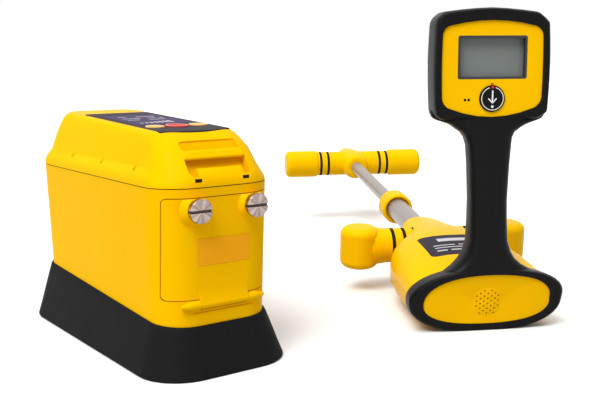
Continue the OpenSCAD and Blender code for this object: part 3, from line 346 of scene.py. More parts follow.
def turned_steel(name, centre, slot_front):
    """Bright steel turned about a Y axis through centre: painted glints fan out, the slot has painted shade.
    """
    material, tree, shader, coords = start_material(name)
    offset = vector_node(tree, "SUBTRACT", coords, centre)
    painted_glint_direction = vector_node(tree, "NORMALIZE", vector_node(tree, "MULTIPLY", offset, ROUND_AXIS))
    # The spokes' bright and dark tone is a painted highlight in the base colour.
    contrast = tree.nodes.new("ShaderNodeMapRange")
    contrast.inputs["From Min"].default_value, contrast.inputs["From Max"].default_value = PAINTED_GLINT_CONTRAST
    tree.links.new(noise(tree, painted_glint_direction, PAINTED_GLINT_SCALE, detail=4.0), contrast.inputs["Value"])
    tone = mix_colors(tree, contrast.outputs["Result"], STEEL_PAINTED_GLINT_DARK, STEEL_PAINTED_GLINT_BRIGHT)
    parts = tree.nodes.new("ShaderNodeSeparateXYZ")
    tree.links.new(offset, parts.inputs["Vector"])
    # Behind the head's front the slot is painted darker: painted shade.
    in_slot = math_node(tree, "LESS_THAN", math_node(tree, "ABSOLUTE", parts.outputs["Z"]), SLOT_HALF)
    behind = math_node(tree, "GREATER_THAN", parts.outputs["Y"], slot_front)
    painted_slot_shade = math_node(tree, "MULTIPLY", in_slot, behind)
    tree.links.new(mix_colors(tree, painted_slot_shade, tone, SLOT_PAINTED_SHADE), shader.inputs["Base Color"])
    rings = noise(tree, vector_node(tree, "MULTIPLY", offset, ALONG_AXIS), RING_SCALE)
    tree.links.new(math_node(tree, "MULTIPLY_ADD", rings, *STEEL_GLOSS), shader.inputs["Roughness"])
    tree.links.new(vector_node(tree, "CROSS_PRODUCT", offset, ALONG_AXIS), shader.inputs["Tangent"])
    shader.inputs["Anisotropic"].default_value = 0.7
    shader.inputs["Metallic"].default_value = 1.0
    return material


head_front = span("tx_door_screw_left", BACK)[0]
screw_steel = {}
for side in ("left", "right"):
    screw = f"tx_door_screw_{side}"
    screw_middle = Vector((middle(screw, RIGHT), 0, middle(screw, UP)))
    screw_steel[side] = turned_steel(f"turned_steel_{side}", screw_middle, head_front + SLOT_EDGE)
print("screw heads start at", round(head_front / MM, 2), "mm")

# %% Drawn tube
LINE_SCALE = 520.0
LINE_STRETCH = (1.0, 60.0, 1.0)
LINE_DEPTH = 0.12 * MM
TUBE_GLOSS = (0.2, 0.28)


def drawn_tube(name, tones):
    """Grey tube with fine lines along the wand."""
    material, tree, shader, coords = start_material(name)
    place = tree.nodes.new("ShaderNodeMapping")
    place.vector_type = "TEXTURE"
    place.inputs["Rotation"].default_value = frame_turn(wand_frame).to_euler()
    place.inputs["Scale"].default_value = LINE_STRETCH
    tree.links.new(coords, place.inputs["Vector"])
    lines = noise(tree, place.outputs["Vector"], LINE_SCALE)
    tree.links.new(mix_colors(tree, lines, *tones), shader.inputs["Base Color"])
    tree.links.new(math_node(tree, "MULTIPLY_ADD", lines, *TUBE_GLOSS), shader.inputs["Roughness"])
    bump_from(tree, shader, lines, LINE_DEPTH)
    shader.inputs["Metallic"].default_value = 0.55
    return material


tube_grey = drawn_tube("tube_grey", ((0.28, 0.255, 0.245), (0.44, 0.41, 0.39)))
print("tube finish:", tube_grey.name)

# %% Windows and the inner finishes
def metal_finish(name, tones, gloss):
    return moulded_finish(name, tones, gloss, drift=0.08, grain_scale=1500.0, grain_depth=0.01 * MM,
                          Metallic=1.0)


def window_finish(name, tones, gloss, drift, specular):
    return moulded_finish(name, tones, gloss, drift, grain_scale=300.0, grain_depth=0.005 * MM,
                          Specular_IOR_Level=specular)


plain_steel = metal_finish("plain_steel", ((0.5, 0.5, 0.52), (0.62, 0.62, 0.64)), gloss=0.32)
brass = metal_finish("brass", ((0.62, 0.43, 0.17), (0.7, 0.5, 0.22)), gloss=0.3)
copper_winding = metal_finish("copper_winding", ((0.5, 0.2, 0.07), (0.62, 0.27, 0.1)), gloss=0.38)
ferrite = moulded_finish("ferrite", ((0.03, 0.03, 0.032), (0.045, 0.045, 0.047)), gloss=0.6)
board_green = moulded_finish("board_green", ((0.01, 0.12, 0.05), (0.015, 0.15, 0.06)), gloss=0.35)
cell_wrap = moulded_finish("cell_wrap", ((0.05, 0.05, 0.055), (0.08, 0.08, 0.085)), gloss=0.3)
display_grey = window_finish("display_grey", ((0.165, 0.185, 0.175), (0.185, 0.205, 0.195)), gloss=0.22,
                             drift=0.03, specular=0.2)
window_violet = window_finish("window_violet", ((0.055, 0.042, 0.088), (0.085, 0.065, 0.13)), gloss=0.5,
                              drift=0.04, specular=0.02)
print("finishes in all:", len(bpy.data.materials))

# %% [markdown]
# ## Dressing the CAD nodes
#
# The CAD solids have the right shapes, so most of them stay and only get a finish and softer edges. A CAD
# mesh is loose triangles: Weld joins them, Decimate in its planar mode melts flat triangles together, and
# then a Bevel that acts above an angle rounds each real edge by a fraction of a millimetre, as a mould does.
# Weighted normals keep the flat walls flat. The edges could be picked and beveled by hand, but live
# modifiers do the same for every node, and they move no point of the node's own mesh.

# %% Finish of each node
FINISH = {
    "tx_base_boot": boot_rubber, "tx_case_seal": seal_black, "tx_control_panel": panel_dark,
    "tx_display_window": window_violet, "tx_key_left": key_orange, "tx_key_power": key_red,
    "tx_key_right": key_orange, "tx_door_label": label_orange, "tx_hinge_pin": plain_steel,
    "tx_door_screw_left": screw_steel["left"], "tx_door_screw_right": screw_steel["right"],
    # The black plugs in the lid's two slots stand in for the shade deep in those slots: painted shade.
    "tx_screw_inserts": brass, "tx_lid_plugs": seal_black, "tx_door_seal": seal_black,
    "tx_door_contacts": plain_steel, "tx_battery_holder": black_plastic, "tx_batteries": cell_wrap,
    "tx_battery_contacts": plain_steel, "tx_circuit_board": board_green, "tx_induction_coil": copper_winding,
    "tx_coil_core": ferrite, "tx_output_socket": black_plastic, "tx_socket_nut": plain_steel,
    "tx_case_screws": plain_steel, "tx_base_screws": plain_steel, "rx_grip_frame": grip_black,
    "rx_display_frame": black_plastic, "rx_display_window": display_grey, "rx_push_button": grip_black,
    "rx_head_board": board_green, "rx_head_back": grip_black, "rx_head_screws": plain_steel,
    "rx_speaker": black_plastic, "rx_body_label": panel_dark, "rx_arm_bands": seal_black,
    "rx_side_coils": copper_winding, "rx_battery_pack": cell_wrap, "rx_main_board": board_green,
    "rx_body_screws": plain_steel, "rx_outer_tube": tube_grey, "rx_guide_bush": black_plastic,
    "rx_collet": white_plastic, "rx_inner_tube": tube_grey, "rx_tube_stop": black_plastic,
    "rx_tee_bands": seal_black, "rx_tee_rod": ferrite, "rx_tee_coils": copper_winding,
}
for name, node in nodes.items():
    shell = receiver_yellow if name.startswith("rx_") else shell_yellow
    node.data.materials.clear()
    node.data.materials.append(FINISH.get(name, shell))
print("dressed:", len(nodes))

# %% Edge break of each node
JOIN_WITHIN = 0.01 * MM
FLAT_WITHIN = math.radians(0.4)
SHARP_FROM = math.radians(32)
SMALL_BREAK = 0.15
# Width of the rounded edge in millimetres, where it is more than the small one
EDGE_BREAK = {
    "tx_base_boot": 0.9, "tx_lower_housing": 0.4, "tx_upper_housing": 0.9, "tx_battery_door": 0.5,
    "tx_control_panel": 0.3, "tx_key_left": 0.6, "tx_key_power": 0.6, "tx_key_right": 0.6,
    "tx_door_screw_left": 0.35, "tx_door_screw_right": 0.35, "rx_face_plate": 0.6, "rx_push_button": 0.5,
    "rx_end_cover": 0.4, "rx_barrels": 0.5, "rx_lock_collar": 0.6, "rx_tee_hub": 0.5, "rx_tee_caps": 0.4,
    "rx_body_upper": 0.4, "rx_body_lower": 0.4, "rx_arms": 0.3, "rx_grip_frame": 0.9,
}


def shade_smooth(piece):
    for polygon in piece.data.polygons:
        polygon.use_smooth = True


def break_edges(piece, width):
    """Round every edge sharper than the limit, with live modifiers."""
    weld = piece.modifiers.new("join_triangles", "WELD")
    weld.merge_threshold = JOIN_WITHIN
    melt = piece.modifiers.new("melt_flats", "DECIMATE")
    melt.decimate_type = "DISSOLVE"
    melt.angle_limit = FLAT_WITHIN
    bevel = piece.modifiers.new("edge_break", "BEVEL")
    bevel.width = width
    bevel.segments = 3
    bevel.limit_method = "ANGLE"
    bevel.angle_limit = SHARP_FROM
    bevel.harden_normals = True
    piece.modifiers.new("even_normals", "WEIGHTED_NORMAL")
    shade_smooth(piece)


for name, node in nodes.items():
    break_edges(node, EDGE_BREAK.get(name, SMALL_BREAK) * MM)
print("edges broken by more than", SMALL_BREAK, "mm:", len(EDGE_BREAK))

# %% [markdown]
# ## The grip's outer form
#
# The grip is one soft moulding. Its rim stands wider round the face than the recess needs, the handle is
# fuller on the right, and the foot's front stands square to the sloping body, with the end cover set in it.
# It could be modelled afresh, but the CAD solids already have the recesses and the screw seats, so merged
# copies stand in for the two nodes with only some walls moved. Each move fades out over a short distance,
# so nothing tears.

# %% Helpers for a drawn piece and for a moved copy
SAME_POINT = 1e-7
IN_PLACE = Matrix.Identity(4)


def finish_piece(mesh, name, matrix, body, finish):
    """Turn a drawn bmesh into a piece that sits at the scene's origin and rides on a body."""
    bmesh.ops.remove_doubles(mesh, verts=mesh.verts, dist=SAME_POINT)
    bmesh.ops.recalc_face_normals(mesh, faces=mesh.faces)
    bmesh.ops.transform(mesh, matrix=matrix, verts=mesh.verts)
    data = bpy.data.meshes.new(name)
    mesh.to_mesh(data)
    mesh.free()
    data.materials.append(finish)
    piece = bpy.data.objects.new(name, data)
    bpy.context.scene.collection.objects.link(piece)
    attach(piece, body)
    return piece


def merged_copy(node):
    """A node's triangles in a bmesh of their own, joined where they meet."""
    mesh = bmesh.new()
    mesh.from_mesh(nodes[node].data)
    bmesh.ops.remove_doubles(mesh, verts=mesh.verts, dist=JOIN_WITHIN)
    return mesh


def ramp(value, start, end):
    """0 before start, 1 after end and a straight line between; end may lie below start."""
    return min(1.0, max(0.0, (value - start) / (end - start)))


print("copies are joined within", JOIN_WITHIN / MM, "mm")

# %% Lean of the foot's front
# How deep and how far up the lean fades, and how far the upper edge comes forward and up, the lower one back
FOOT_DEPTH = 16 * MM
FOOT_FADE = 60 * MM
FOOT_FORWARD = 8 * MM
FOOT_BACK = 4.5 * MM
FOOT_LIFT = 1.7 * MM
# The flare on the right: how much fuller, where it fades above the cover and where it starts from the middle
FLARE_RIGHT = 5 * MM
FLARE_TOP = 45 * MM
FLARE_FULL_TO = 20 * MM
FLARE_START = 10 * MM
FLARE_FULL_FROM = 45 * MM
grip_mid = middle("rx_push_button", face_across)
foot_front = span("rx_end_cover", face_in)[0]
cover_low, cover_high = span("rx_end_cover", UP)
cover_mid = (cover_low + cover_high) / 2


def lean_foot(point):
    """Set the foot's front square to the body: its upper edge comes forward, its lower edge goes back."""
    front = ramp(point.dot(face_in), foot_front + FOOT_DEPTH, foot_front)
    low = ramp(point.z, cover_mid, 0.0) * front
    upper = ramp(point.z, cover_mid, cover_high)
    high = upper * ramp(point.z, cover_high + FOOT_FADE, cover_high) * front
    flare = upper * ramp(point.z, cover_high + FLARE_TOP, cover_high + FLARE_FULL_TO)
    reach = point.dot(face_across) - grip_mid
    fuller = FLARE_RIGHT * flare * ramp(reach, FLARE_START, FLARE_FULL_FROM)
    lean = face_in * (FOOT_BACK * low - FOOT_FORWARD * high)
    return point + lean + UP * (FOOT_LIFT * high) + face_across * fuller


print("cover from", round(cover_low / MM, 1), "to", round(cover_high / MM, 1), "mm")

# %% Wider rim and handle
RIM_RIGHT = 3.2 * MM
RIM_LEFT = 1.4 * MM
# How far outside the face plate the rim's walls start to move, and from where they move in full
RIM_START = 0.5 * MM
RIM_FULL_FROM = 2.2 * MM
# The face plate's upper edge drops and its lower edge rises this much towards the corners
CROWN_DROP = 8 * MM
TROUGH_RISE = 13 * MM
# Points this far outside the face plate's outline are the rim's
RECESS_MARGIN = 1.5 * MM
CORNER_LIFT = 2.8 * MM
CORNER_DROP = 2.4 * MM
# Corners: how far below the top and above the lowest edge they start, and from which reach to which
TOP_CORNER = 14 * MM
TOP_CORNER_REACH = (22 * MM, 46 * MM)
LOW_CORNER = (12 * MM, 2 * MM)
LOW_CORNER_REACH = (30 * MM, 50 * MM)
# The head's points start this far below the face plate's lowest edge
HEAD_MARGIN = 1 * MM
# The handle's fuller right side, as a share of its reach, and how far below the head it fades in and out
HANDLE_RIGHT = 0.14
HANDLE_FOOT = (136 * MM, 111 * MM)
HANDLE_NECK = (9 * MM, 27 * MM)
face_left, face_right = span("rx_face_plate", face_across)
face_half = (face_right - face_left) / 2
head_low, face_high = span("rx_face_plate", UP)


def widen_head(point, reach):
    """Move the rim's side walls out and fill its corners; the recess of the face plate stays."""
    outer = ramp(abs(reach), face_half + RIM_START, face_half + RIM_FULL_FROM)
    push = (RIM_RIGHT if reach > 0 else -RIM_LEFT) * outer
    sag = (reach / face_half) ** 2
    above = point.z - (face_high - CROWN_DROP * sag)
    below = head_low + TROUGH_RISE * sag - point.z
    lift = 0.0
    if outer > 0 or above > RECESS_MARGIN or below > RECESS_MARGIN:
        top = ramp(point.z, face_high - TOP_CORNER, face_high)
        foot = ramp(point.z, head_low + LOW_CORNER[0], head_low + LOW_CORNER[1])
        lift += CORNER_LIFT * top * ramp(abs(reach), *TOP_CORNER_REACH)
        lift -= CORNER_DROP * foot * ramp(abs(reach), *LOW_CORNER_REACH)
    return face_across * push + UP * lift


def widen_handle(point, reach):
    """Fill the handle's right side between the foot's flare and the neck."""
    above_foot = ramp(point.z, head_low - HANDLE_FOOT[0], head_low - HANDLE_FOOT[1])
    below_neck = ramp(point.z, head_low - HANDLE_NECK[0], head_low - HANDLE_NECK[1])
    return face_across * (max(0.0, reach) * HANDLE_RIGHT * above_foot * below_neck)


grip = merged_copy("rx_grip_frame")
for vert in grip.verts:
    widen = widen_head if vert.co.z > head_low - HEAD_MARGIN else widen_handle
    vert.co = lean_foot(vert.co + widen(vert.co, vert.co.dot(face_across) - grip_mid))
grip_piece = finish_piece(grip, "grip_moulding", IN_PLACE, "receiver", grip_black)
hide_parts("rx_grip_frame")
break_edges(grip_piece, EDGE_BREAK["rx_grip_frame"] * MM)
print("face's half width and lowest edge", round(face_half / MM, 1), round(head_low / MM, 1), "mm")

# %% End cover on the leaning front
cover = merged_copy("rx_end_cover")
for vert in cover.verts:
    vert.co = lean_foot(vert.co)
cover_piece = finish_piece(cover, "end_cover", IN_PLACE, "receiver", receiver_yellow)
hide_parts("rx_end_cover")
break_edges(cover_piece, EDGE_BREAK["rx_end_cover"] * MM)
print("end cover has", len(cover_piece.data.vertices), "points")

# %% [markdown]
# ## The sweep under the head
#
# On the real grip the head's lower corners sweep down into the handle in one soft curve. It could be lofted
# from drawn outlines. Here it is a plain cylinder, cut into slices, and each slice's ring is then given its
# own width, depth and height, with corners fuller than an ellipse's.

# %% Sweep of squarish rings
# The sweep's middle lies this far to the right of the button's
SWEEP_SHIFT = 1.7 * MM
CORNER_POWER = 2 / 3
# Rise from the face plate's lowest edge, half width, half depth and distance behind the face, in millimetres
SWEEP_RINGS = [
    (-14, 26.3, 15.3, 13.4), (-11, 30.6, 15.4, 13.7), (-8, 36.2, 15.4, 14.0), (-5.7, 42.8, 15.3, 14.1),
    (-3.7, 49.2, 15.0, 14.2), (-2, 53.0, 13.8, 14.8), (0, 55.2, 12.2, 15.4), (3, 56.2, 12.0, 16.0),
    (6, 56.2, 12.0, 16.0),
]


def squarish(value):
    """Share of an oval's half width, pushed out so that its corners are fuller than an ellipse's."""
    return math.copysign(abs(value) ** CORNER_POWER, value)


sweep = bmesh.new()
slices = len(SWEEP_RINGS) - 1
bmesh.ops.create_cone(sweep, cap_ends=True, segments=48, radius1=1, radius2=1, depth=slices,
                      matrix=Matrix.Translation((0, 0, slices / 2)))
for level in range(1, slices):
    bmesh.ops.bisect_plane(sweep, geom=[*sweep.verts, *sweep.edges, *sweep.faces], plane_co=(0, 0, level),
                           plane_no=(0, 0, 1))
for vert in sweep.verts:
    rise, half_width, half_depth, depth = SWEEP_RINGS[round(vert.co.z)]
    across = squarish(vert.co.x) * half_width * MM + SWEEP_SHIFT
    vert.co = Vector((across, (squarish(vert.co.y) * half_depth + depth) * MM, rise * MM))
upright_frame = make_frame(face_across, face_in, UP)
sweep_at = frame_matrix(upright_frame, grip_mid, span("rx_face_plate", face_in)[0], head_low)
sweep_piece = finish_piece(sweep, "grip_sweep", sweep_at, "receiver", grip_black)
for polygon in sweep_piece.data.polygons:
    polygon.use_smooth = len(polygon.vertices) == 4
print("sweep slices", slices)

# %% [markdown]
# ## The lid's upper recess and front corners
#
# Above the deep grip pocket the lid has a shallow recess for the thumb. Its floor is steep: nearly flush
# under the panel and deep at its lower edge, so it looks darker than the slope round it. The lid's front
# corners run straight from the brow to the parting line. Both could be cut with booleans, but they are only
# moves of a few points of the CAD lid, so a merged copy with those points moved stands in for it. The recess
# is found in a frame that lies on the brow.

# %% Places on the lid
# Thickness of the seal under the lid, in millimetres
LID_SEAL = 0.8
# From the lid's lower front edge to the brow's foot, and the brow's run from there
BROW_FOOT = Vector((0, 15.3, 28 - LID_SEAL)) * MM
BROW_RUN = Vector((0, 11.7, 8.8))
lid_front = span("tx_upper_housing", BACK)[0]
lid_foot = span("tx_upper_housing", UP)[0]
lid_edge = Vector((0, lid_front, lid_foot))
brow_frame = make_frame(RIGHT, BROW_RUN, RIGHT.cross(BROW_RUN))
brow_at = frame_at(brow_frame, lid_edge + BROW_FOOT)
to_brow = brow_at.inverted()
print("lid's lower front edge", [round(v / MM, 1) for v in lid_edge], "mm")

# %% Steeper recess
# Half width, lower and upper edge on the brow, and how near to an edge a point may lie
RECESS_HALF = 27.6 * MM
RECESS_LOW = 0.75 * MM
RECESS_HIGH = 12.25 * MM
RECESS_NEAR = 0.05 * MM
# Heights over the brow between which the recess's points lie, and below which they are its floor's
RECESS_UNDER = -3 * MM
RECESS_OVER = 0.5 * MM
RECESS_FLOOR = -2 * MM
# How far the recess moves up the brow, and its floor's depth at the upper and at the lower edge
RECESS_SHIFT = 2.2 * MM
RECESS_TOP_DEPTH = 1.2 * MM
RECESS_FOOT_DEPTH = 7.4 * MM


def in_recess(place):
    in_width = abs(place.x) < RECESS_HALF
    in_height = RECESS_LOW - RECESS_NEAR < place.y < RECESS_HIGH + RECESS_NEAR
    return in_width and in_height and RECESS_UNDER < place.z < RECESS_OVER


def steepen(place):
    """Tilt the recess's floor and move the recess up the brow."""
    if place.z < RECESS_FLOOR:
        rise = ramp(place.y, RECESS_LOW, RECESS_HIGH)
        place.z = -RECESS_FOOT_DEPTH + (RECESS_FOOT_DEPTH - RECESS_TOP_DEPTH) * rise
    place.y += RECESS_SHIFT
    return place


lid = merged_copy("tx_upper_housing")
recess_points = 0
for vert in lid.verts:
    place = to_brow @ vert.co
    if in_recess(place):
        vert.co = brow_at @ steepen(place)
        recess_points += 1
print("recess points moved", recess_points)

# %% Straight front corners
# Centre of a corner's arc from the lid's middle and front, the reach over which the move fades in, and how
# far ahead of the centre it is full
CORNER_CENTRE = Vector((23, 34)) * MM
CORNER_REACH = (31 * MM, 42 * MM)
CORNER_AHEAD = 14 * MM
# Rise above the lid's foot and how far the corner's wall moves in, in millimetres
CORNER_IN = [(1.0, 0), (2.7, 0.5), (6.2, 1.7), (9.7, 1.6), (14.2, 0)]


def table_value(table, at):
    """Value on a line through a table's points, 0 outside it."""
    for (low, low_value), (high, high_value) in zip(table, table[1:]):
        if low <= at <= high:
            return low_value + (high_value - low_value) * (at - low) / (high - low)
    return 0.0


for vert in lid.verts:
    ahead = lid_front + CORNER_CENTRE.y - vert.co.y
    on_corner = ramp(abs(vert.co.x), *CORNER_REACH) * ramp(ahead, 0, CORNER_AHEAD)
    inward = table_value(CORNER_IN, (vert.co.z - lid_foot) / MM) * on_corner * MM
    if inward > 0:
        beside = vert.co.x - math.copysign(CORNER_CENTRE.x, vert.co.x)
        vert.co.xy -= Vector((beside, -ahead)).normalized() * inward
lid_piece = finish_piece(lid, "lid_moulding", IN_PLACE, "transmitter", shell_yellow)
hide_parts("tx_upper_housing")
break_edges(lid_piece, EDGE_BREAK["tx_upper_housing"] * MM)
print("lid has", len(lid_piece.data.vertices), "points")

# %% [markdown]
# ## Tongue, lip and back wall of the grip pocket
#
# The lid's lower grip recess is not an open box: a tongue stands up from its lower edge, short of both side
# walls, and the upper edge comes down as a lip, so the fingers go in between the two. A wall closes it at
# the back. They could be cut from the lid, but they are plain slabs along its front slope with rounded
# edges, so each is a beveled cube. The slope is the line between the pocket's two edges, measured from the
# lid's lower front edge.

# %% Slabs in the pocket
POCKET_LOW = Vector((0, 1.91, 8.7)) * MM
POCKET_HIGH = Vector((0, 14.75, 26.43)) * MM
POCKET_HALF = 29.2
SLAB_ROUND = 1.3 * MM
# Name, left, right, start and end along the slope, back and front, in millimetres
POCKET_SLABS = [
    ("grip_tongue", -20.7, 22.9, -1.6, 8.4, -3.9, -0.8),
    ("grip_lip", -POCKET_HALF, POCKET_HALF, 17.0, 22.6, -3.4, -0.05),
    ("grip_back", -POCKET_HALF, POCKET_HALF, -4.0, 25.0, -11.0, -8.0),
]
slope = POCKET_HIGH - POCKET_LOW
slope_frame = make_frame(RIGHT, slope, RIGHT.cross(slope))
slope_at = frame_at(slope_frame, lid_edge + POCKET_LOW)
for name, left, right, start, end, back, front in POCKET_SLABS:
    slab = bmesh.new()
    size = Matrix.Diagonal((right - left, end - start, front - back, 1))
    place = Matrix.Translation(((left + right) / 2, (start + end) / 2, (back + front) / 2))
    bmesh.ops.create_cube(slab, size=1.0, matrix=Matrix.Scale(MM, 4) @ place @ size)
    bmesh.ops.bevel(slab, geom=list(slab.edges), offset=SLAB_ROUND, offset_type="OFFSET", affect="EDGES",
                    segments=4, profile=0.5, material=-1)
    shade_smooth(finish_piece(slab, name, slope_at, "transmitter", shell_yellow))
print("slope", round(math.degrees(slope.angle(BACK)), 1), "degrees")

# %% [markdown]
# ## Printed marks on the receiver's face
#
# The round button carries a broken white ring, an arrow pointing down with a dot below it, and a red tick at
# the top, which goes on over the face plate. Beside the button are the two small dots of a light sensor.
# On the real one such marks are printed, a few hundredths of a millimetre thick. A texture could show them,
# but thin pieces stay sharp from near by and move with the button. Each is a flat shape drawn with a few
# vertices or a spin, given a thin slab's thickness by extruding, and laid on the face.

# %% Helpers for flat marks
MARK_THICK = 0.15 * MM


def thicken(mesh, thick):
    """Raise a flat mesh into a closed slab of the given thickness."""
    raised = bmesh.ops.extrude_face_region(mesh, geom=list(mesh.faces), use_keep_orig=True)
    tops = [g for g in raised["geom"] if isinstance(g, bmesh.types.BMVert)]
    bmesh.ops.translate(mesh, vec=(0, 0, thick), verts=tops)


def add_bar(mesh, start, end, width):
    """Flat bar between two points, with square ends."""
    run = (Vector(end) - Vector(start)).normalized()
    side = Vector((-run.y, run.x)) * (width / 2)
    corners = [Vector(start) - side, Vector(end) - side, Vector(end) + side, Vector(start) + side]
    mesh.faces.new([mesh.verts.new((c.x, c.y, 0)) for c in corners])


def add_disc(mesh, centre, radius):
    bmesh.ops.create_circle(mesh, cap_ends=True, radius=radius, segments=24,
                            matrix=Matrix.Translation((*centre, 0)))


def add_arc_band(mesh, inner, outer, start_deg, sweep_deg):
    """Flat band of a ring, spun from one edge."""
    a = math.radians(start_deg)
    edge_verts = [mesh.verts.new((r * math.cos(a), r * math.sin(a), 0)) for r in (inner, outer)]
    edge = mesh.edges.new(edge_verts)
    bmesh.ops.spin(mesh, geom=[*edge_verts, edge], cent=(0, 0, 0), axis=(0, 0, 1), dvec=(0, 0, 0),
                   angle=math.radians(sweep_deg), steps=56, use_merge=sweep_deg == 360, use_duplicate=False)


def lay_print_and_highlight(mesh, name, matrix, body, finish):
    thicken(mesh, MARK_THICK)
    finish_piece(mesh, name, matrix, body, finish)


print("marks are", MARK_THICK / MM, "mm thick")

# %% Ring, arrow and dot on the button
RING_INNER = 10.2 * MM
RING_OUTER = 10.85 * MM
# Where the broken ring starts and how far it goes round, in degrees
RING_START = 106
RING_SWEEP = 328
ARROW_TOP = 7.6 * MM
STEM_END = -3.4 * MM
STEM_WIDTH = 1.35 * MM
ARROW_TIP = -4.0 * MM
BARB_REACH = 3.9 * MM
BARB_TOP = 0.2 * MM
BARB_WIDTH = 1.1 * MM
DOT_HEIGHT = -7.4 * MM
DOT_R = 1.2 * MM
button_mid = middle("rx_push_button", UP)
button_front = span("rx_push_button", face_frame["out"])[1]
button_at = frame_matrix(face_frame, grip_mid, button_mid, button_front)
marks = bmesh.new()
add_arc_band(marks, RING_INNER, RING_OUTER, RING_START, RING_SWEEP)
add_bar(marks, (0, ARROW_TOP), (0, STEM_END), STEM_WIDTH)
for side in (-1, 1):
    add_bar(marks, (side * BARB_REACH, BARB_TOP), (0, ARROW_TIP), BARB_WIDTH)
add_disc(marks, (0, DOT_HEIGHT), DOT_R)
lay_print_and_highlight(marks, "button_marks", button_at, "push_button", print_white)
print("button's middle", [round(v, 4) for v in (grip_mid, button_mid, button_front)])

# %% Red tick and the light sensor's dots
TICK_WIDTH = 2.4 * MM
SENSOR_DOTS = (-26.0 * MM, -22.5 * MM)
SENSOR_HEIGHT = -1.0 * MM
SENSOR_R = 1.25 * MM
face_front = span("rx_face_plate", face_frame["out"])[1]
face_at = frame_matrix(face_frame, grip_mid, button_mid, face_front)
# Name, lower and upper end over the button's middle, place and body
TICKS = [
    ("button_tick", 9.6 * MM, 11.8 * MM, button_at, "push_button"),
    ("face_tick", 12.7 * MM, 14.4 * MM, face_at, "receiver"),
]
for name, low, high, place, body in TICKS:
    tick = bmesh.new()
    add_bar(tick, (0, low), (0, high), TICK_WIDTH)
    lay_print_and_highlight(tick, name, place, body, print_red)
dots = bmesh.new()
for across in SENSOR_DOTS:
    add_disc(dots, (across, SENSOR_HEIGHT), SENSOR_R)
lay_print_and_highlight(dots, "light_sensor", face_at, "receiver", seal_black)
print("face plate's front at", round(face_front, 4))

# %% [markdown]
# ## Edge of the display
#
# The glass lies a few millimetres behind the face plate, and a black edge runs round the inside of the
# opening: partly its black inner wall, partly painted shade of the recess on the glass. It is one flat sheet
# with rounded corners, inset to a frame and raised to the opening's depth.

# %% Black edge of the display's opening, partly painted shade
# How far the glass reaches behind the opening's edge on each side
OPENING_LAP = 2.0 * MM
OPENING_ROUND = 2 * MM
EDGE_WIDTH = 2.2 * MM
EDGE_DEPTH = 3.4 * MM
EDGE_SUNK = 0.15 * MM
left, right = span("rx_display_window", face_across)
low, high = span("rx_display_window", UP)
opening = Matrix.Diagonal((right - left - 2 * OPENING_LAP, high - low - 2 * OPENING_LAP, 1, 1))
# The black sheet is partly the opening's inner wall and partly painted shade of the recess.
painted_shade_liner = bmesh.new()
bmesh.ops.create_grid(painted_shade_liner, x_segments=1, y_segments=1, size=0.5, matrix=opening)
bmesh.ops.bevel(painted_shade_liner, geom=list(painted_shade_liner.verts), offset=OPENING_ROUND, offset_type="OFFSET", affect="VERTICES",
                segments=4, profile=0.5, material=-1)
window = list(painted_shade_liner.faces)
bmesh.ops.inset_region(painted_shade_liner, faces=window, thickness=EDGE_WIDTH, use_boundary=True, use_even_offset=True)
bmesh.ops.delete(painted_shade_liner, geom=window, context="FACES_ONLY")
thicken(painted_shade_liner, EDGE_DEPTH)
edge_back = face_front - EDGE_DEPTH - EDGE_SUNK
liner_at = frame_matrix(face_frame, (left + right) / 2, (low + high) / 2, edge_back)
finish_piece(painted_shade_liner, "display_edge_and_painted_shade", liner_at, "receiver", black_plastic)
print("display opening", [round(v / MM, 1) for v in (opening[0][0], opening[1][1])], "mm")

# %% [markdown]
# ## Painted highlights on the keys, prints in the window and on the body label
#
# Each key has a thin pale ring near its edge, a painted highlight on its rim, and the window behind the keys
# shows a few plain signs: a rising row of bars and short dashes. They are flat marks like those on the
# button. The body's label follows a curved wall, so its bars are cut into a fine grid and every point is
# dropped onto the label.

# %% Painted highlight rings on the keys
# The key's hidden flange, and the two edges of the painted highlight ring inside the part of the key that
# shows
KEY_FLANGE = 0.5 * MM
KEY_HIGHLIGHT_OUTER = 1.1 * MM
KEY_HIGHLIGHT_INNER = 2.0 * MM
for body in ("key_left", "key_power", "key_right"):
    key = "tx_" + body
    left, right = span(key, RIGHT)
    key_r = (right - left) / 2 - KEY_FLANGE
    key_at = frame_matrix(panel_frame, (left + right) / 2, middle(key, panel_frame["along"]),
                          span(key, panel_out)[1])
    # The pale ring is a painted highlight on the key's rim.
    ring = bmesh.new()
    add_arc_band(ring, key_r - KEY_HIGHLIGHT_INNER, key_r - KEY_HIGHLIGHT_OUTER, 0, 360)
    lay_print_and_highlight(ring, body + "_painted_highlight", key_at, body, print_and_highlight_pale)
    print(body, "radius", round(key_r / MM, 2), "mm")

# %% Signs in the panel's window
# All in millimetres, from the middle of the window's front edge
BAR_COUNT = 7
FIRST_BAR = -19
BAR_PITCH = 5.2
BAR_FOOT = 12
FIRST_BAR_TOP = 15
BAR_RISE = 1.8
BAR_WIDTH = 2.6
DASH_WIDTH = 2.2
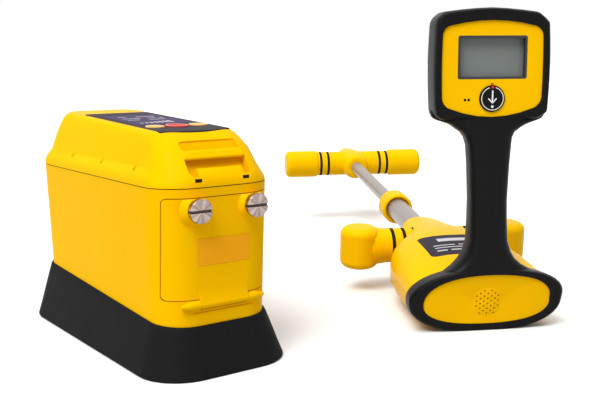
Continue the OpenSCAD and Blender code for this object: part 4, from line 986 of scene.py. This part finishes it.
# Row's distance from the front edge, and where each of its dashes starts and ends
DASH_ROWS = [
    (40, [(-20, -8), (2, 18)]),
    (52, [(-20, -2), (6, 14), (18, 22)]),
    (66, [(-18, -10), (0, 20)]),
]
window_front = span("tx_display_window", panel_frame["along"])[0]
window_at = frame_matrix(panel_frame, 0, window_front, span("tx_display_window", panel_out)[1])
signs = bmesh.new()
for step in range(BAR_COUNT):
    across = (FIRST_BAR + BAR_PITCH * step) * MM
    top = (FIRST_BAR_TOP + BAR_RISE * step) * MM
    add_bar(signs, (across, BAR_FOOT * MM), (across, top), BAR_WIDTH * MM)
for row, dashes in DASH_ROWS:
    for start, end in dashes:
        add_bar(signs, (start * MM, row * MM), (end * MM, row * MM), DASH_WIDTH * MM)
lay_print_and_highlight(signs, "window_signs", window_at, "transmitter", print_and_highlight_pale)
print("signs in the window:", BAR_COUNT, "bars and", sum(len(dashes) for _, dashes in DASH_ROWS), "dashes")

# %% Bars on the curved body label
# Left, right, near and far side of each bar from the label's middle, in millimetres
LABEL_BARS = [
    (-22, 27, 9, 18), (-31, -8, -4, -2), (-4, 30, -4, -2), (-31, 6, -11, -9), (10, 24, -11, -9),
    (-31, -20, -19, -16.5), (-16, 14, -19, -16.5),
]
ABOVE_ALL = 1.0


def drop_onto(mesh, node):
    """Drop a mesh drawn at floor level onto a node's upper side; a point's own height stays as its lift."""
    source = bmesh.new()
    source.from_mesh(nodes[node].data)
    surface = BVHTree.FromBMesh(source)
    source.free()
    for vert in mesh.verts:
        hit = surface.ray_cast(Vector((vert.co.x, vert.co.y, ABOVE_ALL)), -UP)[0]
        vert.co.z += hit.z


label_at = frame_matrix(upright_frame, middle("rx_body_label", face_across),
                        middle("rx_body_label", face_in), 0)
bars = bmesh.new()
for left, right, near, far in LABEL_BARS:
    size = Matrix.Diagonal(((right - left) * MM, (far - near) * MM, 1, 1))
    place = Matrix.Translation(((left + right) / 2 * MM, (near + far) / 2 * MM, 0))
    bmesh.ops.create_grid(bars, x_segments=12, y_segments=3, size=0.5, matrix=place @ size)
thicken(bars, MARK_THICK)
bmesh.ops.transform(bars, matrix=label_at, verts=bars.verts)
drop_onto(bars, "rx_body_label")
finish_piece(bars, "label_bars", IN_PLACE, "receiver", print_and_highlight_pale)
print("label bars:", len(LABEL_BARS))

# %% [markdown]
# ## Camera, light and floor
#
# The camera was fitted to the photograph: the lens and the place below put the two instruments where they
# are in it. The light is plain and soft: a white world, a broad sun from the left that makes the side a
# little brighter than the front, and a broader one from above. The floor is white. World and floor send less
# light onto the object than they show to the camera, so the picture stays white and the walls keep their
# shades.

# %% Camera
CAMERA_AT = Vector((-0.389, -0.7873, 0.2615))
HEADING = math.radians(35.77)
DOWN = math.radians(8.71)
ROLL = math.radians(-0.36)
# Width of the picture and the fitted focal length, in pixels
IMAGE_W = 599
FOCAL_PX = 919.4
camera_data = bpy.data.cameras.new("camera")
camera_data.sensor_width = 36.0
camera_data.lens = FOCAL_PX / IMAGE_W * camera_data.sensor_width
camera = bpy.data.objects.new("camera", camera_data)
bpy.context.scene.collection.objects.link(camera)
looking = Vector((math.sin(HEADING) * math.cos(DOWN), math.cos(HEADING) * math.cos(DOWN), -math.sin(DOWN)))
camera.location = CAMERA_AT
camera.rotation_mode = "QUATERNION"
camera.rotation_quaternion = looking.to_track_quat("-Z", "Y") @ Matrix.Rotation(ROLL, 4, "Z").to_quaternion()
bpy.context.scene.camera = camera
print("lens", round(camera_data.lens, 2), "mm")

# %% World and suns
AMBIENT = 0.45
# Name, strength, spread in degrees and direction
SUNS = [
    ("window_light", 2.4, 35, (0.64, 0.26, -0.85)),
    ("ceiling_light", 1.2, 70, (0.05, 0.1, -1)),
]


def seen_rays(tree):
    """1 for rays that show a thing, straight or in metal and glass, and 0 for rays that light one."""
    rays = tree.nodes.new("ShaderNodeLightPath").outputs
    mirrored = math_node(tree, "MAXIMUM", rays["Is Glossy Ray"], rays["Is Transmission Ray"])
    return math_node(tree, "MAXIMUM", rays["Is Camera Ray"], mirrored)


world = bpy.data.worlds.new("studio")
bpy.context.scene.world = world
world.use_nodes = True
tree = world.node_tree
background = tree.nodes["Background"]
background.inputs["Color"].default_value = (1, 1, 1, 1)
strength = math_node(tree, "MULTIPLY_ADD", seen_rays(tree), 1.0 - AMBIENT, AMBIENT)
tree.links.new(strength, background.inputs["Strength"])
for name, energy, spread, direction in SUNS:
    sun_data = bpy.data.lights.new(name, "SUN")
    sun_data.energy = energy
    sun_data.angle = math.radians(spread)
    sun = bpy.data.objects.new(name, sun_data)
    sun.rotation_mode = "QUATERNION"
    sun.rotation_quaternion = Vector(direction).to_track_quat("-Z", "Y")
    bpy.context.scene.collection.objects.link(sun)
print("suns:", len(SUNS))

# %% Floor
FLOOR_HALF = 30.0
FLOOR_BOUNCE = 0.52
FLOOR_WHITE = 0.96
floor_mesh = bmesh.new()
bmesh.ops.create_grid(floor_mesh, x_segments=1, y_segments=1, size=FLOOR_HALF)
floor_data = bpy.data.meshes.new("floor")
floor_mesh.to_mesh(floor_data)
floor_mesh.free()
floor_paint, tree, shader, coords = start_material("floor_paint")
paint = mix_colors(tree, seen_rays(tree), (FLOOR_BOUNCE,) * 3, (FLOOR_WHITE,) * 3)
tree.links.new(paint, shader.inputs["Base Color"])
shader.inputs["Roughness"].default_value = 0.9
floor_data.materials.append(floor_paint)
floor = bpy.data.objects.new("floor", floor_data)
bpy.context.scene.collection.objects.link(floor)
floor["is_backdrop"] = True
bpy.context.scene.view_settings.view_transform = "Standard"
print("floor's half width", FLOOR_HALF, "m")

# %% [markdown]
# ## Close
#
# The dressed model's box is measured, leaving out the floor.

# %% Size of the dressed model
low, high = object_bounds()
